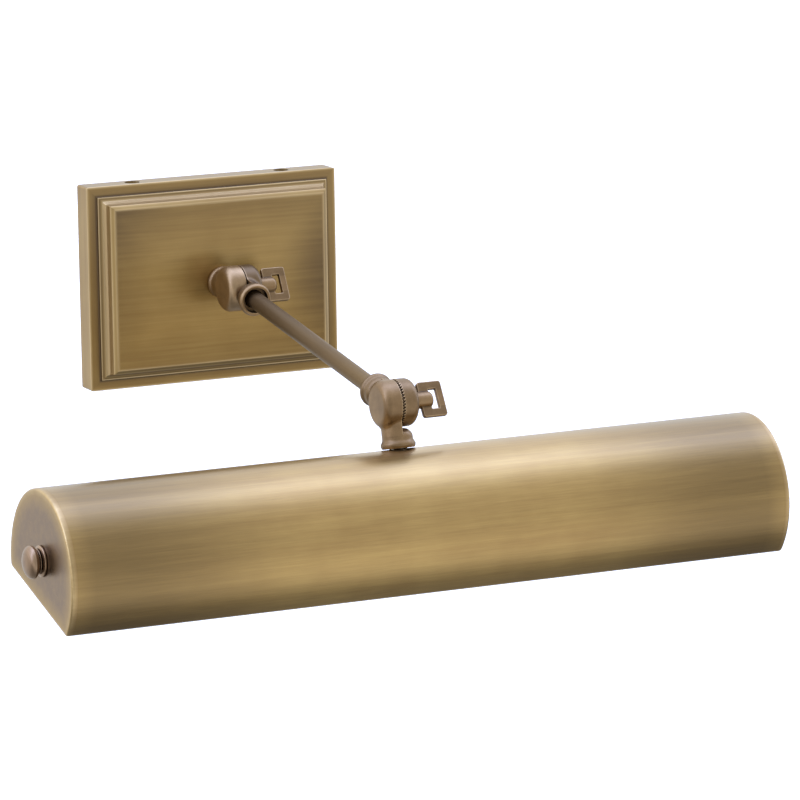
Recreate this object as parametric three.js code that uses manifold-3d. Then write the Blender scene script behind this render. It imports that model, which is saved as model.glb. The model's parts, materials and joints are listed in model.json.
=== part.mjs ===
// Picture light: a wall plate, a swivelling arm and a half-round brass shade.
// Millimetres. +Z is up, +X runs along the shade to the right, +Y points into the wall.
// The origin is the centre of the mounting strap's back face, on the wall.

import * as THREE from 'three';
import { mergeVertices } from 'three/addons/utils/BufferGeometryUtils.js';
import Module from 'manifold-3d';

const wasm = await Module();
wasm.setup();

// ---------------------------------------------------------------- driving dimensions

const GAP = 0.3;                     // clearance between pieces that touch

const PLATE_WIDTH = 151.6;
const PLATE_HEIGHT = 115.2;
const PLATE_CORNER = 1.3;
const PLATE_BAND = 14;               // thickness of the outer band
const PLATE_DEPTH = 25;              // wall to the raised panel
const PLATE_WALL = 3;
const PANEL_THICKNESS = 1.8;
const KEEPER_SPACING = 91;           // between the two holes in the top edge
const KEEPER_HOLE = 8.6;
const KEEPER_HEAD = 7.8;
const KEEPER_SINK = 1.7;             // screw head below the plate's top edge

const STRAP_LENGTH = 108;
const STRAP_THICKNESS = 1.6;
const STRAP_DEPTH = 9.3;             // wall to the edge of the flanges
const STRAP_SLOT_CENTRE = 39.7;      // suits box screws 70 to 89 mm apart
const STRAP_SLOT_WIDTH = 5;
const STRAP_SLOT_LENGTH = 15;
const WIRE_HOLE = 22;
const WIRE_HOLE_DROP = 26;
const GROUND_SCREW_RISE = 24;
const STRAP_SCREW_HOLE = 4.6;

const KNUCKLE_RADIUS = 12.75;
const KNUCKLE_HALF = 10.2;           // thickness of one half
const KNUCKLE_FLAT = 9;              // radius of the flat outer face
const KNUCKLE_CHAMBER = 8;           // radius of the hollow round the screw
const KNUCKLE_FLOOR = 4.4;           // depth of that hollow
const NECK_RADIUS = 8.2;
const NECK_LENGTH = 23.8;            // hinge axis to the end of the neck
const NECK_SHOULDER = 18;            // hinge axis to the straight part of the neck
const NECK_ROUND = 5.6;              // height of the neck's rounded inner end
const BEAD_RADIUS = 9.1;
const BEAD_START = 20.8;
const BEAD_END = 22.8;
const CUP_RADIUS = 7.1;              // recess round the arm tube
const CUP_DEPTH = 3.4;
const NECK_BORE_START = 14;
const LEAD_OFFSET = 2.8;             // wire passage beside the hinge screw
const PASSAGE_START = 3;
const PASSAGE_WIDTH = 3.6;

const ARM_LENGTH = 203.2;            // hinge to hinge
const ARM_SLOPE = 9;                 // degrees below level
const TUBE_DIAMETER = 9.6;
const TUBE_BORE = 7.6;

const SCREW_SHANK = 5;
const SCREW_COVER = 1.6;             // metal left beyond the screw's blind hole
const HUB_DIAMETER = 8.8;
const HUB_END = 21.9;
const LOOP_START = 14.9;
const LOOP_END = 28.8;
const LOOP_HEIGHT = 19.6;
const LOOP_THICKNESS = 2.8;
const LOOP_HOLE_START = 20.6;
const LOOP_HOLE_END = 25.1;
const LOOP_HOLE_HEIGHT = 11;
const LOOP_CORNER = 1.5;
const LOOP_EDGE = 0.4;               // chamfer along the loop's edges
const ARM_SCREW_TURN = 28;           // degrees, loop handle from upright
const SHADE_SCREW_TURN = 31;

const SHADE_LENGTH = 413;
const SHADE_RADIUS = 42.9;
const SHADE_DROP = 17;               // arc centre down to the opening
const SHADE_CORNER = 3.5;
const SHADE_LIP = 6;                 // hem along each edge of the opening
const SHADE_SHEET = 1;
const SHADE_LEAN = 16.8;             // degrees, top towards the room
const SHADE_NECK_LEAN = -12.1;       // degrees, top towards the wall
const CAP_RIM = 2.6;                 // rounded rim of an end cap
const CAP_LIP = 3.2;                 // depth of an end cap's wall

const LAMP_RISE = 4.7;               // lamp axis above the arc centre
const SWITCH_RISE = 6.4;             // switch axis above the arc centre
const NIPPLE_DIAMETER = 10;
const NIPPLE_BORE = 6.8;
const NIPPLE_HOLE = 10.6;
const NIPPLE_START = 18.5;           // hinge axis to the nipple's end in the neck
const NUT_FLATS = 14.3;
const NUT_THICKNESS = 4;
const WASHER_DIAMETER = 18;
const WASHER_THICKNESS = 1.2;

const BRACKET_HALF = 11.6;           // half the distance across the ears
const BRACKET_SHEET = 1.5;
const BRACKET_WIDTH = 22;
const BRACKET_TOP = 39.7;            // outer face of the web from the arc centre
const BRACKET_FOOT = -12;

const SOCKET_DIAMETER = 34;
const SOCKET_LENGTH = 40;
const SOCKET_BORE = 27.6;
const SOCKET_BORE_DEPTH = 31;
const BULB_DIAMETER = 31.75;
const BULB_END = 166;                // bulb tip from the middle of the shade
const BULB_CAP_DIAMETER = 26.4;
const BULB_CAP_LENGTH = 25;
const BULB_GLASS = 0.9;

const SWITCH_DIAMETER = 22;
const SWITCH_LENGTH = 19;
const BUSH_DIAMETER = 9.4;
const RING_NUT_DIAMETER = 16.4;
const RING_NUT_THICKNESS = 1.5;
const KNOB_DIAMETER = 17.3;
const KNOB_LENGTH = 9.8;             // end cap to the tip of the knob

const LEAD_DIAMETER = 2.4;
const THIN_LEAD = 1.8;
const NIPPLE_FOOT = 31;              // shade nipple's end from the arc centre

const MATERIALS = {
  brass: { color: 0x8c7446, roughness: 0.38, metalness: 1 },
  swivel: { color: 0x86694f, roughness: 0.4, metalness: 1 },
  knob: { color: 0x6f5749, roughness: 0.4, metalness: 1 },
  steel: { color: 0x9a9c9e, roughness: 0.45, metalness: 1 },
  nickel: { color: 0xb9b3a4, roughness: 0.3, metalness: 1 },
  phenolic: { color: 0x1c1a18, roughness: 0.5, metalness: 0 },
  glass: { color: 0xf2efe6, roughness: 0.2, metalness: 0 },
  insulation: { color: 0x2b2622, roughness: 0.6, metalness: 0 },
  earth: { color: 0x2f7a3a, roughness: 0.5, metalness: 0 },
};

// ---------------------------------------------------------------- solids

const radians = THREE.MathUtils.degToRad;
const X_AXIS = new THREE.Vector3(1, 0, 0);
const Y_AXIS = new THREE.Vector3(0, 1, 0);
const Z_AXIS = new THREE.Vector3(0, 0, 1);

// Six times the enclosed volume, negative when the faces point inwards.
function signedVolume(points, faces) {
  const corner = (k) => new THREE.Vector3().fromBufferAttribute(points, faces[k]);
  let total = 0;
  for (let k = 0; k < faces.length; k += 3) {
    total += corner(k).dot(corner(k + 1).cross(corner(k + 2)));
  }
  return total;
}

// The same surface with shared vertices, no empty faces, and every face pointing out.
function closed(geometry) {
  const bare = new THREE.BufferGeometry();
  bare.setAttribute('position', geometry.getAttribute('position').clone());
  bare.setIndex(geometry.index ? geometry.index.clone() : null);
  const merged = mergeVertices(bare, 1e-4);
  const index = merged.index.array;
  const faces = [];
  for (let k = 0; k < index.length; k += 3) {
    const [a, b, c] = [index[k], index[k + 1], index[k + 2]];
    if (a !== b && b !== c && c !== a) {
      faces.push(a, b, c);
    }
  }
  const points = merged.getAttribute('position');
  if (signedVolume(points, faces) < 0) {
    faces.reverse();
  }
  merged.setIndex(faces);
  return merged;
}

function toSolid(geometry) {
  const ready = closed(geometry);
  const vertProperties = new Float32Array(ready.getAttribute('position').array);
  const triVerts = new Uint32Array(ready.index.array);
  return new wasm.Manifold(new wasm.Mesh({ numProp: 3, vertProperties, triVerts }));
}

function fromSolid(solid) {
  const mesh = solid.getMesh();
  const geometry = new THREE.BufferGeometry();
  geometry.setAttribute('position', new THREE.BufferAttribute(mesh.vertProperties, 3));
  geometry.setIndex(new THREE.BufferAttribute(mesh.triVerts, 1));
  return geometry;
}

function join(first, ...others) {
  return fromSolid(others.reduce((sum, other) => sum.add(toSolid(other)), toSolid(first)));
}

function cut(first, ...tools) {
  return fromSolid(tools.reduce((rest, tool) => rest.subtract(toSolid(tool)), toSolid(first)));
}

// A turned shape about +Z from [radius, height] points.
function turned(profile, sides) {
  const points = profile.map(([radius, height]) => new THREE.Vector2(radius, height));
  return closed(new THREE.LatheGeometry(points, sides).rotateX(Math.PI / 2));
}

// A turned shape about +X.
function turnedX(profile, sides) {
  return turned(profile, sides).rotateY(Math.PI / 2);
}

// A round bar or drill along +Z.
function rod(radius, low, high, sides) {
  return turned([[0, low], [radius, low], [radius, high], [0, high]], sides);
}

function rodX(radius, low, high, sides) {
  return rod(radius, low, high, sides).rotateY(Math.PI / 2);
}

// A turned ring about +Z with an open bore.
function sleeve(bore, radius, low, high, sides) {
  return turned([[bore, low], [radius, low], [radius, high], [bore, high], [bore, low]], sides);
}

function box(low, high) {
  const size = high.map((value, k) => value - low[k]);
  const centre = high.map((value, k) => (value + low[k]) / 2);
  return new THREE.BoxGeometry(...size).translate(...centre);
}

// A flat outline in the YZ plane, drawn out along +X from low to high.
function extrudedX(points, low, high) {
  const shape = new THREE.Shape(points);
  const options = { depth: high - low, bevelEnabled: false };
  const turn = new THREE.Matrix4().makeBasis(Y_AXIS, Z_AXIS, X_AXIS);
  return closed(new THREE.ExtrudeGeometry(shape, options).applyMatrix4(turn).translate(low, 0, 0));
}

// Points on an arc about [y, z], with both ends.
function arc(centre, radius, from, to, steps) {
  return Array.from({ length: steps + 1 }, (_, k) => {
    const angle = from + (to - from) * k / steps;
    return new THREE.Vector2(centre[0] + radius * Math.cos(angle), centre[1] + radius * Math.sin(angle));
  });
}

// A solid through a stack of outlines with equal point counts. Each step of the path is
// [inset, height], and a fan closes the first and the last outline.
function stacked(outline, path) {
  const positions = [];
  const faces = [];
  const rings = path.map(([inset, height]) => {
    const points = outline(inset);
    const first = positions.length / 3;
    points.forEach((point) => positions.push(point.x, point.y, height));
    return { first, count: points.length, height };
  });
  for (let r = 0; r + 1 < rings.length; r += 1) {
    for (let k = 0; k < rings[r].count; k += 1) {
      const next = (k + 1) % rings[r].count;
      const [a, b] = [rings[r].first + k, rings[r].first + next];
      const [c, d] = [rings[r + 1].first + k, rings[r + 1].first + next];
      faces.push(a, b, d, a, d, c);
    }
  }
  const closeRing = (ring, flip) => {
    const centre = positions.length / 3;
    positions.push(0, 0, ring.height);
    for (let k = 0; k < ring.count; k += 1) {
      const pair = [ring.first + k, ring.first + (k + 1) % ring.count];
      faces.push(centre, ...(flip ? pair.reverse() : pair));
    }
  };
  closeRing(rings[0], true);
  closeRing(rings[rings.length - 1], false);
  const geometry = new THREE.BufferGeometry();
  geometry.setAttribute('position', new THREE.Float32BufferAttribute(positions, 3));
  geometry.setIndex(faces);
  return closed(geometry);
}

// A round lead through a list of points.
function lead(points, diameter, steps) {
  const path = new THREE.CatmullRomCurve3(points.map((point) => new THREE.Vector3(...point)));
  const section = new THREE.Shape(arc([0, 0], diameter / 2, 0, 2 * Math.PI * 5 / 6, 5));
  return closed(new THREE.ExtrudeGeometry(section, { steps, extrudePath: path, bevelEnabled: false }));
}

function piece(name, geometry, material) {
  const mesh = new THREE.Mesh(geometry, new THREE.MeshStandardMaterial(MATERIALS[material]));
  mesh.name = name;
  return mesh;
}

// ---------------------------------------------------------------- wall plate

// A rectangle with rounded corners, drawn in by inset on every side.
function plateOutline(inset) {
  const radius = Math.max(PLATE_CORNER - inset, 0.5);
  const halfWidth = PLATE_WIDTH / 2 - inset - radius;
  const halfHeight = PLATE_HEIGHT / 2 - inset - radius;
  const signs = [[1, 1], [-1, 1], [-1, -1], [1, -1]];
  return signs.flatMap(([sx, sy], quarter) => {
    const start = quarter * Math.PI / 2;
    return arc([sx * halfWidth, sy * halfHeight], radius, start, start + Math.PI / 2, 2);
  });
}

function wallPlateGeometry() {
  const inside = PLATE_DEPTH - PANEL_THICKNESS;
  const front = [
    [0, 0], [0, PLATE_BAND - 0.4], [0.4, PLATE_BAND], [5.4, PLATE_BAND], [5.9, PLATE_BAND + 0.4],
    [6.1, PLATE_BAND + 1.5], [6.8, PLATE_BAND + 1.7], [8, PLATE_BAND + 3], [9.2, PLATE_BAND + 5.4],
    [10.1, PLATE_BAND + 9.2], [10.5, PLATE_BAND + 9.6], [12.1, PLATE_DEPTH - 0.2], [12.6, PLATE_DEPTH],
  ];
  const back = [
    [14.4, inside], [13.2, inside - 3.4], [8.2, PLATE_BAND + 0.2], [6.8, PLATE_BAND - 2.2],
    [PLATE_WALL, PLATE_BAND - 2.6], [PLATE_WALL, 0],
  ];
  // The front runs from the rim to the panel and the back returns from the panel to the rim,
  // so the two skins are stacked apart and the hollow is cut away.
  const body = stacked(plateOutline, front);
  const hollow = stacked(plateOutline, [...back, [PLATE_WALL, -1]]);
  const keeperHoles = [-1, 1].map((side) => rod(KEEPER_HOLE / 2, 0, PLATE_WALL * 4, 18)
    .rotateX(-Math.PI / 2)
    .translate(side * KEEPER_SPACING / 2, PLATE_HEIGHT / 2 - PLATE_WALL * 2, PLATE_BAND / 2));
  const nippleHole = rod(NIPPLE_HOLE / 2, 0, PLATE_DEPTH * 2, 18);
  // The stack grows along +Z, and the plate grows from the wall towards -Y.
  return cut(body, hollow, nippleHole, ...keeperHoles).rotateX(Math.PI / 2);
}

function strapGeometry() {
  const top = PLATE_HEIGHT / 2 - PLATE_WALL - 0.5;
  const inner = top - STRAP_THICKNESS;
  const profile = [
    [0, -top], [0, top], [-STRAP_DEPTH, top], [-STRAP_DEPTH, inner], [-STRAP_THICKNESS, inner],
    [-STRAP_THICKNESS, -inner], [-STRAP_DEPTH, -inner], [-STRAP_DEPTH, -top],
  ].map(([y, z]) => new THREE.Vector2(y, z));
  const channel = extrudedX(profile, -STRAP_LENGTH / 2, STRAP_LENGTH / 2);
  const across = (geometry) => geometry.rotateX(Math.PI / 2).translate(0, STRAP_THICKNESS, 0);
  const slots = [-1, 1].map((side) => {
    const half = (STRAP_SLOT_LENGTH - STRAP_SLOT_WIDTH) / 2;
    const radius = STRAP_SLOT_WIDTH / 2;
    const points = [
      ...arc([half, 0], radius, -Math.PI / 2, Math.PI / 2, 4),
      ...arc([-half, 0], radius, Math.PI / 2, Math.PI * 3 / 2, 4),
    ];
    const options = { depth: 4 * STRAP_THICKNESS, bevelEnabled: false };
    const slot = new THREE.ExtrudeGeometry(new THREE.Shape(points), options);
    return across(slot).translate(side * STRAP_SLOT_CENTRE, 0, 0);
  });
  const wireHole = across(rod(WIRE_HOLE / 2, 0, 4 * STRAP_THICKNESS, 20)).translate(0, 0, -WIRE_HOLE_DROP);
  const groundHole = across(rod(STRAP_SCREW_HOLE / 2, 0, 4 * STRAP_THICKNESS, 10))
    .translate(0, 0, GROUND_SCREW_RISE);
  const keeperHoles = [-1, 1].map((side) => rod(STRAP_SCREW_HOLE / 2, inner - 1, top + 1, 10)
    .translate(side * KEEPER_SPACING / 2, -PLATE_BAND / 2, 0));
  return cut(channel, ...slots, wireHole, groundHole, ...keeperHoles);
}

// A screw along +Z with its head on top, and a slot across the head.
function screwGeometry(headDiameter, headHeight, shankDiameter, shankLength) {
  const [head, shank] = [headDiameter / 2, shankDiameter / 2];
  const profile = [
    [0, -shankLength], [shank, -shankLength], [shank, 0], [head, 0], [head, headHeight - 0.4],
    [head - 0.5, headHeight], [0, headHeight],
  ];
  const slot = box([-head - 1, -0.6, headHeight - 0.8], [head + 1, 0.6, headHeight + 1]);
  return cut(turned(profile, 14), slot);
}

// ---------------------------------------------------------------- nipples, nuts and washers

function nippleGeometry(length) {
  return sleeve(NIPPLE_BORE / 2, NIPPLE_DIAMETER / 2, 0, length, 16);
}

function washerGeometry() {
  return sleeve(NIPPLE_HOLE / 2, WASHER_DIAMETER / 2, 0, WASHER_THICKNESS, 18);
}

function nutGeometry() {
  const outer = NUT_FLATS / Math.sqrt(3);
  const hexagon = turned([[0, 0], [outer, 0], [outer, NUT_THICKNESS], [0, NUT_THICKNESS]], 6);
  return cut(hexagon, rod(NIPPLE_HOLE / 2, -1, NUT_THICKNESS + 1, 16));
}

// ---------------------------------------------------------------- swivels

// One half of a swivel: a disc about the hinge on the side given, and a neck along +Z that
// clears the other half's disc.
function knuckleGeometry(side, neckBore, screwThrough) {
  const face = GAP / 2;
  const rim = KNUCKLE_RADIUS - KNUCKLE_FLAT;
  const round = rim * 1.3;
  const shoulder = arc([0, 0], 1, 0, Math.PI / 2, 3)
    .map((point) => [KNUCKLE_FLAT + rim * point.x, KNUCKLE_HALF - round + round * point.y]);
  const profile = [
    [0, KNUCKLE_FLOOR], [KNUCKLE_CHAMBER, KNUCKLE_FLOOR], [KNUCKLE_CHAMBER, face],
    [KNUCKLE_RADIUS, face], ...shoulder, [0, KNUCKLE_HALF],
  ];
  const disc = turnedX(profile, 32);
  const dome = arc([0, 0], 1, 0, Math.PI / 2, 3)
    .map((point) => [NECK_RADIUS * point.y, NECK_SHOULDER - NECK_ROUND * point.x]);
  const neck = turned([
    ...dome, [NECK_RADIUS, NECK_SHOULDER + 1.4], [BEAD_RADIUS, BEAD_START], [BEAD_RADIUS, BEAD_END],
    [NECK_RADIUS + 0.2, NECK_LENGTH], [0, NECK_LENGTH],
  ], 24);
  const stem = cut(rod(NECK_RADIUS, 0, NECK_SHOULDER + 0.5, 24), box([-20, -20, -20], [face, 20, 40]),
    rodX(KNUCKLE_RADIUS - 1, 0, KNUCKLE_HALF * 2, 32));
  const clearance = rodX(KNUCKLE_RADIUS + 0.4, -KNUCKLE_HALF * 2, face, 32);
  const bore = rod(neckBore / 2, NECK_BORE_START, NECK_LENGTH + 1, 16);
  const passage = rod(PASSAGE_WIDTH / 2, PASSAGE_START, NECK_BORE_START + 1, 8).translate(LEAD_OFFSET, 0, 0);
  const screwEnd = screwThrough ? KNUCKLE_HALF + 1 : KNUCKLE_HALF - SCREW_COVER;
  const screwHole = rodX(SCREW_SHANK / 2 + GAP, -1, screwEnd, 14);
  const solid = cut(join(disc, stem, cut(neck, clearance)), bore, passage, screwHole);
  // The half is drawn on the right of the mating plane, and turned about its neck for the left.
  return side > 0 ? solid : solid.rotateZ(Math.PI);
}

function armKnuckleGeometry() {
  const cup = rod(CUP_RADIUS, NECK_LENGTH - CUP_DEPTH, NECK_LENGTH + 1, 20);
  return cut(knuckleGeometry(1, TUBE_DIAMETER + 2 * GAP, true), cup);
}

// A screw along the hinge with a square loop handle, upright in the XZ plane.
function thumbscrewGeometry() {
  const [shank, hub] = [SCREW_SHANK / 2, HUB_DIAMETER / 2];
  const dome = arc([0, 0], hub, 0, Math.PI / 2, 3).map((point) => [point.x, HUB_END - hub / 2 + point.y / 2]);
  const screw = turnedX([
    [0, 2 - KNUCKLE_HALF], [shank, 2.5 - KNUCKLE_HALF], [shank, KNUCKLE_HALF + GAP],
    [hub, KNUCKLE_HALF + GAP], ...dome,
  ], 18);
  const middle = [(LOOP_START + LOOP_END) / 2, 0];
  const outline = roundedRectangle(middle, LOOP_END - LOOP_START, LOOP_HEIGHT, LOOP_CORNER);
  const shape = new THREE.Shape(outline);
  const holeMiddle = [(LOOP_HOLE_START + LOOP_HOLE_END) / 2, 0];
  const hole = roundedRectangle(holeMiddle, LOOP_HOLE_END - LOOP_HOLE_START, LOOP_HOLE_HEIGHT, 0.5);
  shape.holes.push(new THREE.Path(hole));
  const options = {
    depth: LOOP_THICKNESS - 2 * LOOP_EDGE,
    bevelSize: LOOP_EDGE,
    bevelThickness: LOOP_EDGE,
    bevelSegments: 1,
    bevelOffset: -LOOP_EDGE,
  };
  const loop = new THREE.ExtrudeGeometry(shape, options)
    .translate(0, 0, LOOP_EDGE - LOOP_THICKNESS / 2)
    .rotateX(Math.PI / 2);
  return join(screw, loop);
}

function roundedRectangle(centre, width, height, radius) {
  const signs = [[1, 1], [-1, 1], [-1, -1], [1, -1]];
  return signs.flatMap(([sx, sy], quarter) => {
    const corner = [centre[0] + sx * (width / 2 - radius), centre[1] + sy * (height / 2 - radius)];
    const start = quarter * Math.PI / 2;
    return arc(corner, radius, start, start + Math.PI / 2, 2);
  });
}

// ---------------------------------------------------------------- shade

// The shade's section: an arc, a rounded corner, the flat of the opening, and the other corner.
// Inset keeps every corner centre, so the outlines stay parallel.
function shadeCorner() {
  const across = SHADE_RADIUS - SHADE_CORNER;
  const up = SHADE_CORNER - SHADE_DROP;
  return [Math.sqrt(across ** 2 - up ** 2), up];
}

function shadeOutline(inset) {
  const [y, z] = shadeCorner();
  const radius = Math.max(SHADE_CORNER - inset, 0.4);
  const turn = Math.atan2(z, y);
  return [
    ...arc([y, z], radius, -Math.PI / 2, turn, 3),
    ...arc([0, 0], SHADE_RADIUS - inset, turn, Math.PI - turn, 28).slice(1, -1),
    ...arc([-y, z], radius, Math.PI - turn, Math.PI * 3 / 2, 3),
  ];
}

function shellGeometry() {
  const [y] = shadeCorner();
  const openEdge = (inset) => [
    new THREE.Vector2(y - SHADE_LIP, inset - SHADE_DROP),
    ...shadeOutline(inset),
    new THREE.Vector2(SHADE_LIP - y, inset - SHADE_DROP),
  ];
  const band = [...openEdge(0), ...openEdge(SHADE_SHEET).reverse()];
  const half = SHADE_LENGTH / 2 - CAP_LIP - GAP;
  const hole = rod(NIPPLE_HOLE / 2, 0, SHADE_RADIUS + 5, 18).rotateX(radians(SHADE_NECK_LEAN - SHADE_LEAN));
  return cut(extrudedX(band, -half, half), hole);
}

// An end cap as a shallow pan about +Z, its mouth at height 0.
function capGeometry(withSwitch) {
  const rounding = (radius, sheet) => arc([0, 0], radius, 0, Math.PI / 2, 2)
    .map((point) => [sheet + radius - point.x, CAP_LIP - sheet - radius + point.y]);
  const outside = [[0, 0], ...rounding(CAP_RIM, 0)];
  const inside = [[SHADE_SHEET, -1], ...rounding(CAP_RIM - SHADE_SHEET, SHADE_SHEET)];
  const pan = cut(stacked(shadeOutline, outside), stacked(shadeOutline, inside));
  const hole = rod(BUSH_DIAMETER / 2 + GAP, -1, CAP_LIP + 1, 16).translate(0, SWITCH_RISE, 0);
  return withSwitch ? cut(pan, hole) : pan;
}

function bracketGeometry() {
  const [outer, inner] = [BRACKET_HALF, BRACKET_HALF - BRACKET_SHEET];
  const profile = [
    [outer, BRACKET_FOOT], [outer, BRACKET_TOP], [-outer, BRACKET_TOP], [-outer, BRACKET_FOOT],
    [-inner, BRACKET_FOOT], [-inner, BRACKET_TOP - BRACKET_SHEET],
    [inner, BRACKET_TOP - BRACKET_SHEET], [inner, BRACKET_FOOT],
  ].map(([x, z]) => new THREE.Vector2(x, z));
  const options = { depth: BRACKET_WIDTH, bevelEnabled: false };
  const saddle = new THREE.ExtrudeGeometry(new THREE.Shape(profile), options)
    .rotateX(Math.PI / 2)
    .translate(0, BRACKET_WIDTH / 2, 0);
  const nippleHole = rod(NIPPLE_HOLE / 2, BRACKET_TOP - 4, BRACKET_TOP + 4, 20);
  const leadHoles = rodX(2.4, -outer - 1, outer + 1, 14).translate(0, 0, BRACKET_TOP - 16);
  return cut(saddle, nippleHole, leadHoles);
}

// A lamp holder about +Z, its back at height 0, with a cross hole for the lead.
function socketGeometry() {
  const [outer, bore] = [SOCKET_DIAMETER / 2, SOCKET_BORE / 2];
  const floor = SOCKET_LENGTH - SOCKET_BORE_DEPTH;
  return turned([
    [0, 0], [outer - 4, 0], [outer - 1, 4], [outer - 1, 8], [outer, 9], [outer, SOCKET_LENGTH - 1],
    [outer - 1, SOCKET_LENGTH], [bore, SOCKET_LENGTH], [bore, floor], [0, floor],
  ], 24);
}

// The bulb's screw cap about +Z: a thin cup with its contact at the bottom.
function bulbCapGeometry() {
  const radius = BULB_CAP_DIAMETER / 2;
  const inner = radius - 0.6;
  return turned([
    [0, 0], [5, 0], [radius - 3.4, 2.4], [radius, 6],
    [radius, BULB_CAP_LENGTH], [inner, BULB_CAP_LENGTH], [inner, 6.4], [radius - 4, 3.6], [0, 3.6],
  ], 20);
}

// The bulb's glass about +Z: open at the neck, which sits inside the cap.
function bulbGlassGeometry(length) {
  const radius = BULB_DIAMETER / 2;
  const neck = BULB_CAP_DIAMETER / 2 - 0.6 - GAP;
  const skin = (inset) => [
    [neck - inset, 0],
    [neck - inset, 16],
    [radius - inset, 26],
    [radius - inset, length - 10],
    ...arc([radius - 10, length - 10], 10 - inset, 0, Math.PI / 2, 3).slice(1).map(({ x, y }) => [x, y]),
    [0, length - inset],
  ];
  return turned([...skin(0), ...skin(BULB_GLASS).reverse(), [neck, 0]], 20);
}

// ---------------------------------------------------------------- switch

function switchBodyGeometry() {
  const [body, bush] = [SWITCH_DIAMETER / 2, BUSH_DIAMETER / 2];
  const bushEnd = SWITCH_LENGTH + SHADE_SHEET + RING_NUT_THICKNESS + 3 * GAP;
  return turned([
    [0, 0], [body - 1, 0], [body, 1], [body, SWITCH_LENGTH], [bush, SWITCH_LENGTH],
    [bush, bushEnd], [0, bushEnd],
  ], 20);
}

function ringNutGeometry() {
  const [bore, rim] = [BUSH_DIAMETER / 2 + GAP, RING_NUT_DIAMETER / 2];
  return turned([
    [bore, 0], [rim, 0], [rim, 0.8], [rim - 1.4, RING_NUT_THICKNESS], [bore, RING_NUT_THICKNESS], [bore, 0],
  ], 24);
}

// The knob about +Z, with height measured from the end cap.
function knobGeometry() {
  const radius = KNOB_DIAMETER / 2;
  const widest = 5.6;
  const base = RING_NUT_THICKNESS + 3 * GAP;
  const back = arc([0, 0], 1, -1.1, 0, 2).map((point) => [radius * point.x ** 0.5, widest + 2 * point.y]);
  const front = arc([0, 0], 1, 0, Math.PI / 2, 5)
    .map((point) => [radius * point.x, widest + (KNOB_LENGTH - widest) * point.y]);
  return turned([
    [0, base], [7, base], [7, base + 0.6], [5.8, base + 1],
    ...back, ...front.slice(1, -1), [0, KNOB_LENGTH],
  ], 24);
}

// ---------------------------------------------------------------- assembly

const light = new THREE.Group();

// Everything that stays on the wall.
const rearHinge = -(PLATE_DEPTH + GAP + NECK_LENGTH);
const panelBack = PANEL_THICKNESS - PLATE_DEPTH;
const nippleTail = 15.4;
light.add(piece('wall_plate', wallPlateGeometry(), 'brass'));
light.add(piece('mounting_strap', strapGeometry(), 'steel'));
for (const [name, side] of [['keeper_screw_left', -1], ['keeper_screw_right', 1]]) {
  const keeper = piece(name, screwGeometry(KEEPER_HEAD, 1.5, 4, 7), 'steel');
  keeper.position.set(side * KEEPER_SPACING / 2, -PLATE_BAND / 2, PLATE_HEIGHT / 2 - KEEPER_SINK - 1.5);
  light.add(keeper);
}
const groundScrew = piece('ground_screw', screwGeometry(7, 2.2, 4, 1.2), 'earth');
groundScrew.position.set(0, -STRAP_THICKNESS - GAP, GROUND_SCREW_RISE);
groundScrew.rotation.x = Math.PI / 2;
light.add(groundScrew);

const nippleHead = rearHinge + NIPPLE_START;
const plateStack = [
  ['plate_nipple', nippleGeometry(-nippleTail - nippleHead), nippleHead, 'nickel'],
  ['plate_washer', washerGeometry(), panelBack + GAP, 'steel'],
  ['plate_nut', nutGeometry(), panelBack + WASHER_THICKNESS + 2 * GAP, 'nickel'],
];
for (const [name, geometry, start, material] of plateStack) {
  const mesh = piece(name, geometry, material);
  mesh.rotation.x = -Math.PI / 2;
  mesh.position.y = start;
  light.add(mesh);
}
const plateKnuckle = piece('plate_knuckle', knuckleGeometry(-1, NIPPLE_HOLE, false), 'swivel');
plateKnuckle.position.y = rearHinge;
plateKnuckle.rotation.x = -Math.PI / 2;
light.add(plateKnuckle);

const plateLeadRoute = [
  [-LEAD_OFFSET, rearHinge + 5.5, 0], [-LEAD_OFFSET, rearHinge + 9, 0], [-LEAD_OFFSET, rearHinge + 13, 0],
  [-1.7, rearHinge + 18, 0], [-1.7, rearHinge + 33, 0], [-1.6, -9, -1], [-1.2, -6.2, -10],
  [0, -6, -20], [0, -3.5, -WIRE_HOLE_DROP],
  [0, -0.4, -WIRE_HOLE_DROP],
];
light.add(piece('plate_lead', lead(plateLeadRoute, LEAD_DIAMETER, 24), 'insulation'));
const groundLeadRoute = [
  [1.7, rearHinge + 24, 0], [1.7, rearHinge + 33, 0], [1.7, -9.6, 1], [1.8, -7, 8], [2.6, -5.6, 15],
  [3, -5.4, GROUND_SCREW_RISE - 5],
];
light.add(piece('ground_lead', lead(groundLeadRoute, THIN_LEAD, 14), 'earth'));

const armThumbscrew = piece('arm_thumbscrew', thumbscrewGeometry(), 'swivel');
armThumbscrew.position.y = rearHinge;
armThumbscrew.rotation.x = -radians(ARM_SCREW_TURN);
light.add(armThumbscrew);

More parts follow.
